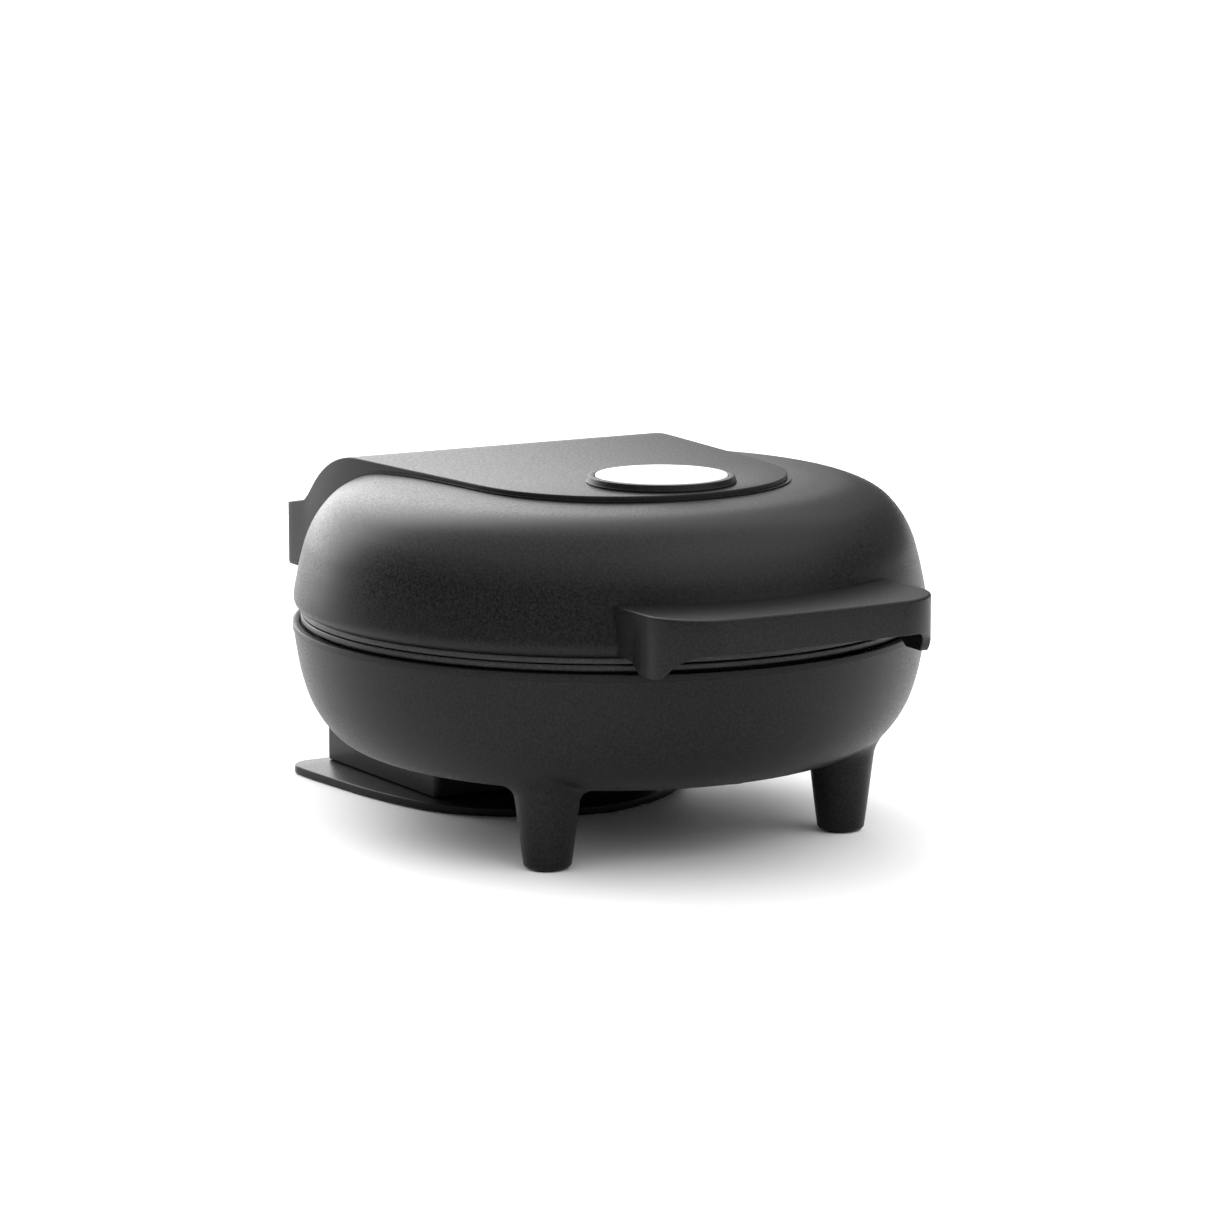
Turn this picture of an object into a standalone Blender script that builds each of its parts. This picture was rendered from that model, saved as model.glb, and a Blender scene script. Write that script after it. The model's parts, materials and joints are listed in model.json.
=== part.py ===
"""Seven-ring donut maker: a round clamshell on two front feet and a rear cord-wrap stand.

The shells, plates and lens are turned about the body's vertical axis. The top strap runs back over
the lid and down into the hinge block, whose lugs turn on two pins held by the ears of the rear
housing. Sizes below are millimetres: shapes are worked out in them and scaled to metres when they
are placed. Heights are above the surface that the feet stand on, and x and y are measured from the
body's vertical axis.
"""
import bpy
import bmesh
from math import cos, pi, radians, sin, sqrt
from mathutils import Matrix, Vector

MM = 0.001
GAP = 0.3                      # between pieces that touch
WALL = 2.5                     # moulded plastic wall
SCREW_HOLE_R = 2.0             # clearance for a 3.2 mm shank

# overall reach from the body axis, which sets where the axis lies in the part's frame
HANDLE_FRONT = 127.6
WRAP_BACK = 118.7
AXIS_Y = (HANDLE_FRONT - WRAP_BACK) / 2

# base bowl: outer profile as (radius, height), rim first
RIM_Z = 67.2
BOWL_CURVE = [(104.0, RIM_Z), (102.75, 58.5), (101.2, 50.5), (98.4, 42.0), (94.0, 34.6),
              (88.5, 29.2), (80.5, 25.9), (70.0, 24.4), (58.0, 24.0)]
BOWL_BOTTOM = 24.0
RIM_LIP_INNER = 99.0           # the rim is thickened inwards to carry the plate
RIM_LIP_DEPTH = 3.0
SHELL_BOSS = (8.0, 44.0)       # radius and top of the bowl's screw bosses
SHELL_RECESS = (6.0, 40.0)     # their screw-head recesses, open below
VENT_R = 9.0                   # hole through the bowl's floor for the wires
VENT_Y = 78.0

# lid dome: outer profile, lower lip first
LID_EDGE_Z = 72.4
LID_CURVE = [(101.4, LID_EDGE_Z), (103.0, 73.8), (103.5, 76.8), (102.3, 83.0), (101.0, 88.6),
             (98.9, 95.5), (95.2, 102.3), (89.4, 108.3), (80.5, 112.1), (69.0, 113.6),
             (58.0, 114.15), (50.0, 114.15)]
WELL_RADIUS = 49.5             # shallow well in the dome's top, covered by the strap
WELL_Z = 111.9
LID_SCREW_SEAT = 100.0         # floor of the recesses for the lid's screws
WIRE_HOLE_R = 5.0              # through the lid's back, for the wires from the hinge block
WIRE_HOLE_Z = 98.0

# cooking plates
PLATE_RADIUS = 101.3
LOWER_FACE_Z = 69.75
UPPER_FACE_Z = LOWER_FACE_Z + GAP
FLANGE = 2.1
PLATE_BODY_RADIUS = 98.4
PLATE_THICK = 3.45
RING_PITCH = 62.5              # centre distance of neighbouring ring cavities
RING_MID = 17.5                # radius of the groove's middle
RING_HALF_WIDTH = 10.5
RING_DEPTH = 12.0
RING_BACK = [(30.2, PLATE_THICK), (26.0, 11.5), (20.5, 14.2), (14.5, 14.2), (5.2, 6.0)]
PLATE_SCREW_DEPTH = 13.0
SHELL_BOSS_R = 71.8            # radius of the outer screw circle
INNER_BOSS_R = RING_PITCH / sqrt(3)
BOSS = 4.5
LID_BOSS_END = 96.7            # inner bosses of the upper plate, up to the lid's posts

# heaters and heat shields
HEATER_R = 45.0
HEATER_TUBE = 3.2
HEATER_DROP = 18.2             # centre line behind the plate's cooking face
HEATER_GAP_ANGLE = 20.0
HEATER_BEND = 6.0              # radius of the bends that turn its ends away from the plate
TERMINAL_LENGTH = 13.5
SHIELD_R = 84.0
SHIELD_RIM_R = 90.0
SHIELD_THICK = 1.0
SHIELD_RISE = 8.0
LOWER_SHIELD_Z = 44.3
UPPER_SHIELD_Z = 94.5

# top strap and hinge
STRAP_Z = 116.0
STRAP_TIP = [(0.0, -60.5), (14.0, -58.9), (27.5, -53.8), (38.0, -46.2), (45.3, -37.0),
             (49.5, -29.0), (52.1, -20.5), (53.7, -10.5)]
STRAP_HALF_WIDTH = 54.6        # beside the body axis
STRAP_FLARE = 0.087
STRAP_FLARE_END = 50.0         # from here the sides ease round until they run parallel
STRAP_EASE = 38.0
STRAP_SLOPE = [(66.0, 115.95), (71.0, 115.5), (75.0, 114.7), (80.4, 113.1), (86.4, 110.3),
               (92.5, 106.2), (98.7, 100.3), (101.2, 97.9), (103.0, 97.1), (109.4, 95.9),
               (115.1, 94.8)]
STRAP_BACK = 116.3
STRAP_BOTTOM = 73.2
HINGE_Y = 109.0
HINGE_Z = 82.0
PIN_R = 2.0
EAR_X = (36.0, 44.0)
EAR_R = 6.0
EAR_STEM = (101.0, 111.5)      # front and back of the ear below its eye
LUG_X = ((29.5, 35.5), (44.5, 50.5))
LUG_R = 5.5
LUG_ROOT_Z = (95.3, 93.5)      # where its front and back run into the hinge block's roof
SLOT_TOP_Z = HINGE_Z + 5.0     # the block's back is slotted so that the lid can swing past the ears
SLOT_ROOM = 0.8                # beside each ear
STRAP_SCREW_XY = (31.0, 31.0)
STRAP_POST_R = 3.5

# indicator
LENS_Y = -32.9
LENS_R = 21.3
LENS_Z = 118.6
LENS_THICK = 2.0
BEZEL_FOOT_R = 24.2
BEZEL_TOP_R = 23.3

# handle
HANDLE_HALF_WIDTH = 50.1
HANDLE_CORNER = 19.0
HANDLE_BOW = 1.0
HANDLE_TOP = 88.4
HANDLE_GRIP_BOTTOM = 77.5
HANDLE_TAB_BOTTOM = 69.0
HANDLE_TAB_FRONT = 108.5
HANDLE_SLANT = [(49.4, HANDLE_TAB_BOTTOM), (47.6, 72.6), (45.0, 75.1), (41.0, 76.9),
                (35.0, HANDLE_GRIP_BOTTOM)]
HANDLE_WALL = 2.8
HANDLE_SCREW_X = 36.0
HANDLE_SCREW_Z = 80.5
HANDLE_BOSS_R = 5.2

# feet, rear housing and cord-wrap plate
FOOT_XY = (55.0, -55.4)
FOOT_R = 7.75
FOOT_TOP_R = 11.0
FOOT_TOP_Z = 27.2
FOOT_PAD_R = 5.2
REAR_PAD_R = 5.0
PAD_PROUD = 0.5
PAD_SEAT_Z = 2.0
HOUSING_FRONT = 38.6
HOUSING_BACK = 116.0
HOUSING_HALF = 43.5            # beside the body axis
HOUSING_FLARE = 0.0206
HOUSING_TOP = 66.0
WRAP_BOTTOM = 0.4
WRAP_TOP = 3.1
WRAP_RECESS_Z = 1.9            # roof of the recesses for its screws and pads
WRAP_CURVE = [(0.0, 2.8), (21.8, 9.2), (38.5, 20.8), (47.7, 33.3), (53.0, 48.0), (56.6, 66.0),
              (58.6, 84.0), (60.0, 100.0), (60.4, 109.5)]
WRAP_CORNER = 8.5
HOUSING_SCREW_XY = (39.0, 62.0)
WRAP_SCREWS = {"left": (-40.0, 100.0), "right": (40.0, 100.0), "front": (0.0, 45.0)}
REAR_PAD_XY = (50.0, 108.5)
GLAND_XZ = (0.0, 14.0)

ROUND = 48                     # facets of the shells
SHIELD_FACETS = 24
LENS_FACETS = 28
SMALL = 12                     # facets of small round features
TINY = 8                       # facets of screws and their holes
FACET_TURN = radians(7.0)
COLLECTION = bpy.context.scene.collection


# ---------------------------------------------------------------- scene and materials

def clear_scene():
    for obj in list(bpy.data.objects):
        bpy.data.objects.remove(obj, do_unlink=True)


def material(name, colour, roughness, metallic=0.0):
    made = bpy.data.materials.get(name)
    if made:
        return made
    made = bpy.data.materials.new(name)
    made.use_nodes = True
    shader = made.node_tree.nodes["Principled BSDF"]
    shader.inputs["Base Color"].default_value = (*colour, 1.0)
    shader.inputs["Roughness"].default_value = roughness
    shader.inputs["Metallic"].default_value = metallic
    return made


def black_plastic():
    return material("black_plastic", (0.022, 0.022, 0.023), 0.5)


def nonstick():
    return material("nonstick_aluminium", (0.05, 0.05, 0.055), 0.42, 0.5)


def bare_aluminium():
    return material("bare_aluminium", (0.7, 0.7, 0.71), 0.35, 1.0)


def steel():
    return material("steel", (0.55, 0.55, 0.56), 0.3, 1.0)


def rubber():
    return material("rubber", (0.03, 0.03, 0.03), 0.85)


def white_lens():
    return material("white_lens", (0.9, 0.9, 0.9), 0.4)


def ceramic():
    return material("ceramic", (0.82, 0.8, 0.74), 0.6)


# ---------------------------------------------------------------- curves and outlines

def smooth_curve(knots, steps):
    """Catmull-Rom curve through the knots, with `steps` spans between neighbours."""
    ends = [knots[0], *knots, knots[-1]]
    points = []
    for i in range(1, len(ends) - 2):
        p0, p1, p2, p3 = (Vector(p) for p in ends[i - 1:i + 3])
        for k in range(steps):
            t = k / steps
            points.append(tuple(0.5 * (2 * p1 + (p2 - p0) * t + (2 * p0 - 5 * p1 + 4 * p2 - p3) * t * t
                                       + (3 * p1 - p0 - 3 * p2 + p3) * t ** 3)))
    points.append(tuple(knots[-1]))
    return points


def offset(points, distance):
    """Shift an open line sideways; a positive distance is to the left of its direction."""
    shifted = []
    for i, point in enumerate(points):
        before = Vector(points[max(i - 1, 0)])
        after = Vector(points[min(i + 1, len(points) - 1)])
        along = (after - before).normalized()
        shifted.append((point[0] - along.y * distance, point[1] + along.x * distance))
    return shifted


def arc(centre, radius, start, stop, steps):
    """Points on a circle, angles in degrees."""
    points = []
    for k in range(steps + 1):
        angle = radians(start + (stop - start) * k / steps)
        points.append((centre[0] + radius * cos(angle), centre[1] + radius * sin(angle)))
    return points


def mirrored(half):
    """Close a right-hand half outline, given front to back, with its mirror image."""
    other = [(-x, y) for x, y in reversed(half) if x > 1e-6]
    return half + other


def strap_half_width(y):
    """Half of the strap's width: its sides flare to the back and end up parallel."""
    if y <= STRAP_FLARE_END:
        return STRAP_HALF_WIDTH + STRAP_FLARE * y
    t = min((y - STRAP_FLARE_END) / STRAP_EASE, 1.0)
    return STRAP_HALF_WIDTH + STRAP_FLARE * (STRAP_FLARE_END + STRAP_EASE * (t - t * t / 2))


def strap_outline(inset=0.0):
    """Plan of the strap: a round tip at the front, then sides that flare gently to the back."""
    half = smooth_curve(STRAP_TIP, 2)
    for y in (0.0, STRAP_FLARE_END, 60.0, 70.0, 80.0, 90.0, STRAP_BACK + 1.0):
        half.append((strap_half_width(y), y))
    half = offset(half, inset)
    half[0] = (0.0, half[0][1])
    return mirrored(half)


def strap_side(inset=0.0, front=-62.0):
    """Side view of the strap as (y, z): flat top, fall over the dome, ledge and hinge block."""
    line = offset([(front, STRAP_Z)] + STRAP_SLOPE, -inset)
    back = STRAP_BACK - inset
    line[-1] = (back - 1.2, line[-1][1])
    bottom = STRAP_BOTTOM - 20 * bool(inset)
    return line + [(back, line[-1][1] - 1.0), (back, bottom + 1.8), (back - 1.5, bottom), (front, bottom)]


def handle_outline(inset=0.0):
    """Plan of the handle: straight sides, round corners and a slightly bowed front."""
    half_width = HANDLE_HALF_WIDTH - inset
    corner = HANDLE_CORNER - inset
    front = -HANDLE_FRONT + inset
    centre = (half_width - corner, front + HANDLE_BOW + corner)
    half = [(0.0, front), (centre[0] * 0.55, front + HANDLE_BOW * 0.35)]
    half += arc(centre, corner, -88, 0, 6)
    half.append((half_width, -78.0))
    return mirrored(half)


def housing_outline(inset=0.0):
    """Plan of the rear housing: a block that widens to the back, its front corners chamfered."""
    front = HOUSING_FRONT + inset
    back = HOUSING_BACK - inset
    front_half = HOUSING_HALF + HOUSING_FLARE * front - inset
    back_half = HOUSING_HALF + HOUSING_FLARE * back - inset
    half = [(front_half - 3.0, front), (front_half, front + 3.0)]
    half += [(back_half, back - 1.5), (back_half - 1.5, back)]
    return half + [(-x, y) for x, y in reversed(half)]


def wrap_outline():
    """Plan of the cord-wrap plate: a rounded front that flares to a straight back edge."""
    before = (-WRAP_CURVE[1][0], WRAP_CURVE[1][1])
    half = smooth_curve([before] + WRAP_CURVE, 2)[2:]
    side_x = WRAP_CURVE[-1][0]
    corner = (side_x - WRAP_CORNER, WRAP_BACK - WRAP_CORNER)
    half += arc(corner, WRAP_CORNER, 0, 90, 4)
    return mirrored(half)


# ---------------------------------------------------------------- mesh makers

def finish(bm):
    bmesh.ops.remove_doubles(bm, verts=bm.verts, dist=1e-3)
    bmesh.ops.recalc_face_normals(bm, faces=bm.faces)
    return bm


def turned(profile, segments=SMALL, closed=False):
    """Spin a (radius, height) line about Z. An open line starts and ends on the axis."""
    bm = bmesh.new()
    verts = [bm.verts.new((r, 0, z)) for r, z in profile]
    pairs = list(zip(verts, verts[1:]))
    if closed:
        pairs.append((verts[-1], verts[0]))
    edges = [bm.edges.new(pair) for pair in pairs]
    bmesh.ops.spin(bm, geom=verts + edges, axis=(0, 0, 1), cent=(0, 0, 0), angle=2 * pi,
                   steps=segments, use_merge=True)
    return finish(bm)


def prism(outline, low, high):
    """Extrude a plan outline between two heights."""
    bm = bmesh.new()
    face = bm.faces.new([bm.verts.new((x, y, low)) for x, y in outline])
    grown = bmesh.ops.extrude_face_region(bm, geom=[face])
    tops = [item for item in grown["geom"] if isinstance(item, bmesh.types.BMVert)]
    bmesh.ops.translate(bm, verts=tops, vec=(0, 0, high - low))
    return finish(bm)


def side_prism(outline, x0, x1):
    """Extrude a (y, z) outline along X."""
    bm = prism(outline, x0, x1)
    swap = Matrix(((0, 0, 1, 0), (1, 0, 0, 0), (0, 1, 0, 0), (0, 0, 0, 1)))
    bmesh.ops.transform(bm, matrix=swap, verts=bm.verts)
    return finish(bm)


def front_prism(outline, y0, y1):
    """Extrude an (x, z) outline along Y."""
    bm = prism(outline, y0, y1)
    swap = Matrix(((1, 0, 0, 0), (0, 0, 1, 0), (0, 1, 0, 0), (0, 0, 0, 1)))
    bmesh.ops.transform(bm, matrix=swap, verts=bm.verts)
    return finish(bm)


def box(x, y, z):
    """A box from three (low, high) pairs."""
    return prism([(x[0], y[0]), (x[1], y[0]), (x[1], y[1]), (x[0], y[1])], z[0], z[1])


def rod(radius, low, high, at=(0, 0), segments=SMALL):
    """An upright round bar, its facets turned off the axes of the parts that it meets."""
    bm = turned([(0, high), (radius, high), (radius, low), (0, low)], segments)
    bmesh.ops.rotate(bm, verts=bm.verts, matrix=Matrix.Rotation(FACET_TURN, 3, "Z"))
    return moved(bm, *at)


def moved(bm, x=0.0, y=0.0, z=0.0):
    bmesh.ops.translate(bm, verts=bm.verts, vec=(x, y, z))
    return bm


def laid(bm, axis, x=0.0, y=0.0, z=0.0):
    """Turn an upright mesh to point along `axis`, then move it."""
    turn = Vector((0, 0, 1)).rotation_difference(Vector(axis)).to_matrix().to_4x4()
    bmesh.ops.transform(bm, matrix=turn, verts=bm.verts)
    return moved(bm, x, y, z)


def to_object(bm, name):
    mesh = bpy.data.meshes.new(name)
    bm.to_mesh(mesh)
    bm.free()
    obj = bpy.data.objects.new(name, mesh)
    COLLECTION.objects.link(obj)
    return obj


def is_closed(mesh):
    bm = bmesh.new()
    bm.from_mesh(mesh)
    closed = all(len(edge.link_faces) == 2 for edge in bm.edges)
    bm.free()
    return closed


def combine(obj, bm, operation):
    """Apply one Boolean to the object; the manifold solver takes over where exact leaves it open."""
    tool = to_object(bm, "tool")
    for solver in ("EXACT", "MANIFOLD"):
        modifier = obj.modifiers.new("step", "BOOLEAN")
        modifier.operation = operation
        modifier.solver = solver
        modifier.object = tool
        scene = bpy.context.evaluated_depsgraph_get()
        result = bpy.data.meshes.new_from_object(obj.evaluated_get(scene))
        obj.modifiers.clear()
        if is_closed(result):
            break
    obj.data = result
    bpy.data.objects.remove(tool, do_unlink=True)
    return obj


def cut(obj, bm):
    return combine(obj, bm, "DIFFERENCE")


def join(obj, bm):
    return combine(obj, bm, "UNION")


def keep(obj, bm):
    return combine(obj, bm, "INTERSECT")


def place(obj, body, surface):
    """Scale the object to metres, give it its material and hang it on its body's empty."""
    obj.data.transform(Matrix.Scale(MM, 4))
    obj.data.materials.clear()
    obj.data.materials.append(surface)
    obj.data.shade_smooth()
    obj.data.set_sharp_from_angle(angle=radians(32))
    obj.parent = body
    obj.location = Vector((0, AXIS_Y * MM, 0)) - body.location
    return obj


def piece(bm, name, body, surface):
    return place(to_object(bm, name), body, surface)


def body_empty(name, y, z):
    empty = bpy.data.objects.new(name, None)
    empty.location = (0, (AXIS_Y + y) * MM, z * MM)
    COLLECTION.objects.link(empty)
    return empty


def spots(radius, first_angle, count=3):
    """Evenly spaced points on a circle about the body axis."""
    angles = [radians(first_angle + 360 / count * k) for k in range(count)]
    return [(radius * cos(a), radius * sin(a)) for a in angles]


def screw(name, body, head_z, tip_z, at, head=3.3, shank=1.6, head_height=2.4):
    """A round-headed screw along Z; the head lies away from the tip."""
    away = 1 if head_z > tip_z else -1
    profile = [(0, head_z + away * head_height), (head, head_z + away * head_height), (head, head_z),
               (shank, head_z), (shank, tip_z), (0, tip_z)]
    return piece(moved(turned(profile, TINY), *at), name, body, steel())


# ---------------------------------------------------------------- shells

def bowl_outer(steps=1):
    return smooth_curve(BOWL_CURVE, steps)


def lid_outer(steps=1):
    return smooth_curve(LID_CURVE, steps)


def bowl_solid(grow=0.0):
    """The bowl's outside as one solid, for cutting what it touches."""
    line = offset(bowl_outer(), grow)
    bottom = BOWL_BOTTOM - grow
    line[-1] = (line[-1][0], bottom)
    top = line[0][0]
    return turned([(0, RIM_Z + 8), (top, RIM_Z + 8), *line, (0, bottom)], ROUND)


def lid_solid(grow=0.0):
    """The lid's outside as one solid, for cutting what it touches."""
    line = offset(lid_outer(), -grow)
    line[-1] = (WELL_RADIUS + grow, line[-1][1])
    low = line[0][0] + 0.1
    well = (WELL_RADIUS - grow, WELL_Z + grow)
    return turned([(0, LID_EDGE_Z - 2), (low, LID_EDGE_Z - 2), *line, well, (0, WELL_Z + grow)], ROUND)


def shell_boss_spots():
    return dict(zip(("front", "right", "left"), spots(SHELL_BOSS_R, -90)))


def make_base_shell(base):
    outer = bowl_outer()
    inner = offset(outer, -WALL)
    inner[-1] = (inner[-1][0], BOWL_BOTTOM + WALL)
    wall_top = RIM_Z - RIM_LIP_DEPTH
    inner = [point for point in inner[::2] if point[1] < wall_top - 1]
    under_lip = (101.2, wall_top)
    lip = [(RIM_LIP_INNER, RIM_Z), (RIM_LIP_INNER, wall_top)]
    profile = outer + [(0, BOWL_BOTTOM)]
    profile = profile[::-1] + lip + [under_lip] + inner + [(0, BOWL_BOTTOM + WALL)]
    shell = to_object(turned(profile, ROUND), "base_shell")
    for side in (-1, 1):
        x, y = side * FOOT_XY[0], FOOT_XY[1]
        foot = [(0, FOOT_TOP_Z), (FOOT_TOP_R, FOOT_TOP_Z), (FOOT_R, 2.0), (FOOT_R - 1.4, PAD_PROUD),
                (0, PAD_PROUD)]
        join(shell, moved(turned(foot, SMALL), x, y))
        cut(shell, rod(FOOT_PAD_R + GAP, -2, PAD_SEAT_Z, (x, y)))
        core = [(0, 32), (FOOT_TOP_R - 3.0, 32), (FOOT_R - 2.75, 5.0), (0, 5.0)]
        cut(shell, moved(turned(core, SMALL), x, y))
    for x, y in shell_boss_spots().values():
        join(shell, rod(SHELL_BOSS[0], 25.6, SHELL_BOSS[1], (x, y)))
        cut(shell, rod(SHELL_RECESS[0], 10, SHELL_RECESS[1], (x, y)))
        cut(shell, rod(SCREW_HOLE_R, 38, 46, (x, y), TINY))
    for side in (-1, 1):
        cut(shell, rod(SCREW_HOLE_R, 20, 32, (side * HOUSING_SCREW_XY[0], HOUSING_SCREW_XY[1]), TINY))
    cut(shell, rod(VENT_R, 20, 30, (0, VENT_Y)))
    return place(shell, base, black_plastic())


def make_lid_shell(lid):
    outer = lid_outer()
    inner = offset(outer, WALL)[::2]
    inner[0] = (inner[0][0] + 0.8, LID_EDGE_Z)
    rim = (WELL_RADIUS, WELL_Z)
    profile = [(0, WELL_Z - WALL), (50.0, WELL_Z - WALL)] + inner[::-1] + outer + [rim, (0, WELL_Z)]
    shell = to_object(turned(profile, ROUND), "lid_shell")
    for x, y in spots(INNER_BOSS_R, -30):
        join(shell, rod(6.0, LID_BOSS_END + GAP, 110.0, (x, y)))
        cut(shell, rod(4.0, LID_SCREW_SEAT, 116.0, (x, y), TINY))
        cut(shell, rod(SCREW_HOLE_R, 95.0, 101.0, (x, y), TINY))
    for side in (-1, 1):
        hole = laid(rod(SCREW_HOLE_R, 0, 30, segments=TINY), (0, -1, 0), side * HANDLE_SCREW_X, -82,
                    HANDLE_SCREW_Z)
        cut(shell, hole)
        cut(shell, rod(3.9, 106, 116, (side * STRAP_SCREW_XY[0], STRAP_SCREW_XY[1])))
    cut(shell, box((-10, 10), (LENS_Y - 4, LENS_Y + 4), (105, 115)))
    cut(shell, laid(rod(WIRE_HOLE_R, 0, 24), (0, 1, 0), 0, 84, WIRE_HOLE_Z))
    return place(shell, lid, black_plastic())


# ---------------------------------------------------------------- plates, heaters and shields

def ring_centres():
    return [(0.0, 0.0)] + spots(RING_PITCH, 0, 6)


def behind(profile, face_z, side):
    """Turn (radius, depth behind the cooking face) points into (radius, height)."""
    return [(radius, face_z + side * depth) for radius, depth in profile]


def cooking_plate(name, face_z, side):
    """A plate with seven ring cavities; `side` is -1 when its back faces down, +1 up."""
    disc = [(0, 0), (PLATE_RADIUS, 0), (PLATE_RADIUS, FLANGE), (PLATE_BODY_RADIUS, FLANGE),
            (PLATE_BODY_RADIUS, PLATE_THICK), (0, PLATE_THICK)]
    bulge = [(0, 2.0), (RING_BACK[0][0], 2.0)] + RING_BACK + [(0, RING_BACK[-1][1])]
    groove = [(RING_MID - RING_HALF_WIDTH, -1.0), (RING_MID + RING_HALF_WIDTH, -1.0)]
    groove += [(RING_MID + RING_HALF_WIDTH * cos(a), RING_DEPTH * sin(a))
               for a in (pi * k / 4 for k in range(5))]
    plate = to_object(turned(behind(disc, face_z, side), ROUND), name)
    for centre in ring_centres():
        join(plate, moved(turned(behind(bulge, face_z, side), SMALL), *centre))
    for centre in ring_centres():
        cut(plate, moved(turned(behind(groove, face_z, side), SMALL, closed=True), *centre))
    return plate


def make_plate(name, body, face_z, side, bosses):
    """A cooking plate with blind screw bosses on its back, given as {(x, y): end height}."""
    plate = cooking_plate(name, face_z, side)
    back = face_z + side * (PLATE_THICK - 1.0)
    for at, end in bosses.items():
        join(plate, rod(BOSS, *sorted((back, end)), at, SMALL))
        cut(plate, rod(1.9, *sorted((end - side * PLATE_SCREW_DEPTH, end + side)), at, TINY))
    return place(plate, body, nonstick())


def heater_path(plane_z, side):
    """Centre line of a heater: most of a circle, its ends turned away from the plate."""
    start = 90 + HEATER_GAP_ANGLE
    turn = 360 - 2 * HEATER_GAP_ANGLE
    ring = [(x, y, plane_z) for x, y in arc((0, 0), HEATER_R, start, start + turn, 30)]
    ends = []
    for x, y in (ring[0][:2], ring[-1][:2]):
        toward = -1 if x < 0 else 1
        tail = [(x - toward * HEATER_BEND * sin(a), y, plane_z + side * HEATER_BEND * (1 - cos(a)))
                for a in (radians(45), radians(90))]
        tail.append((tail[-1][0], y, plane_z + side * TERMINAL_LENGTH))
        ends.append(tail)
    return ends[0][::-1] + ring + ends[1]


def make_heater(name, body, plane_z, side):
    curve = bpy.data.curves.new(name, "CURVE")
    curve.dimensions = "3D"
    curve.bevel_depth = HEATER_TUBE * MM
    curve.bevel_resolution = 1
    curve.use_fill_caps = True
    path = heater_path(plane_z, side)
    spline = curve.splines.new("POLY")
    spline.points.add(len(path) - 1)
    for point, (x, y, z) in zip(spline.points, path):
        point.co = (x * MM, y * MM, z * MM, 1)
    heater = bpy.data.objects.new(name, curve)
    COLLECTION.objects.link(heater)
    curve.materials.append(steel())
    heater.parent = body
    heater.location = Vector((0, AXIS_Y * MM, 0)) - body.location
    return heater


def make_shield(name, body, flat_z, side, holes):
    """A thin dish behind the heater; its rim rises towards the plate, `side` away from it."""
    near = flat_z if side > 0 else flat_z + SHIELD_THICK
    far = near + side * SHIELD_THICK
    profile = [(0, near), (SHIELD_R, near), (SHIELD_RIM_R, near - side * SHIELD_RISE),
               (SHIELD_RIM_R + SHIELD_THICK, near - side * (SHIELD_RISE - 0.4)),
               (SHIELD_R + 0.6, far), (0, far)]
    shield = to_object(turned(profile, SHIELD_FACETS), name)
    for radius, (x, y) in holes:
        cut(shield, rod(radius, flat_z - 3, flat_z + 4, (x, y), TINY))
    return place(shield, body, bare_aluminium())


def terminal_spots():
    path = heater_path(0.0, 1)
    return [path[0][:2], path[-1][:2]]


# ---------------------------------------------------------------- strap, handle and indicator

def make_top_strap(lid):
    strap = to_object(side_prism(strap_side(), -70, 70), "top_strap")
    keep(strap, prism(strap_outline(), 60, 130))
    hollow = to_object(side_prism(strap_side(WALL, 62.0), -70, 70), "hollow")
    keep(hollow, prism(strap_outline(WALL), 40, 130))
    bm = bmesh.new()
    bm.from_mesh(hollow.data)
    bpy.data.objects.remove(hollow, do_unlink=True)
    cut(strap, bm)
    lug = arc((HINGE_Y, HINGE_Z), LUG_R, 180, 360, 8)
    lug += [(HINGE_Y + LUG_R, LUG_ROOT_Z[1]), (HINGE_Y - LUG_R, LUG_ROOT_Z[0])]
    for x0, x1 in LUG_X:
        join(strap, side_prism(lug, x0, x1))
        join(strap, side_prism(lug, -x1, -x0))
    cut(strap, lid_solid(GAP))
    for side in (-1, 1):
        post = (side * STRAP_SCREW_XY[0], STRAP_SCREW_XY[1])
        join(strap, rod(STRAP_POST_R, LID_CURVE[-1][1] - 4.35, STRAP_Z - WALL - 0.5, post, TINY))
        cut(strap, rod(STRAP_POST_R - 1.8, 105.0, STRAP_Z - 1.8, post, TINY))
        low, high = sorted((side * (EAR_X[0] - SLOT_ROOM), side * (EAR_X[1] + SLOT_ROOM)))
        cut(strap, box((low, high), (HINGE_Y + 4.0, STRAP_BACK + 5), (60, SLOT_TOP_Z)))
        low, high = sorted((side * 28.0, side * 52.0))
        cut(strap, laid(rod(PIN_R + 0.35, low, high), (1, 0, 0), 0, HINGE_Y, HINGE_Z))
    cut(strap, rod(LENS_R - 0.6, 100, 130, (0, LENS_Y), LENS_FACETS))
    return place(strap, lid, black_plastic())


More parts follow.
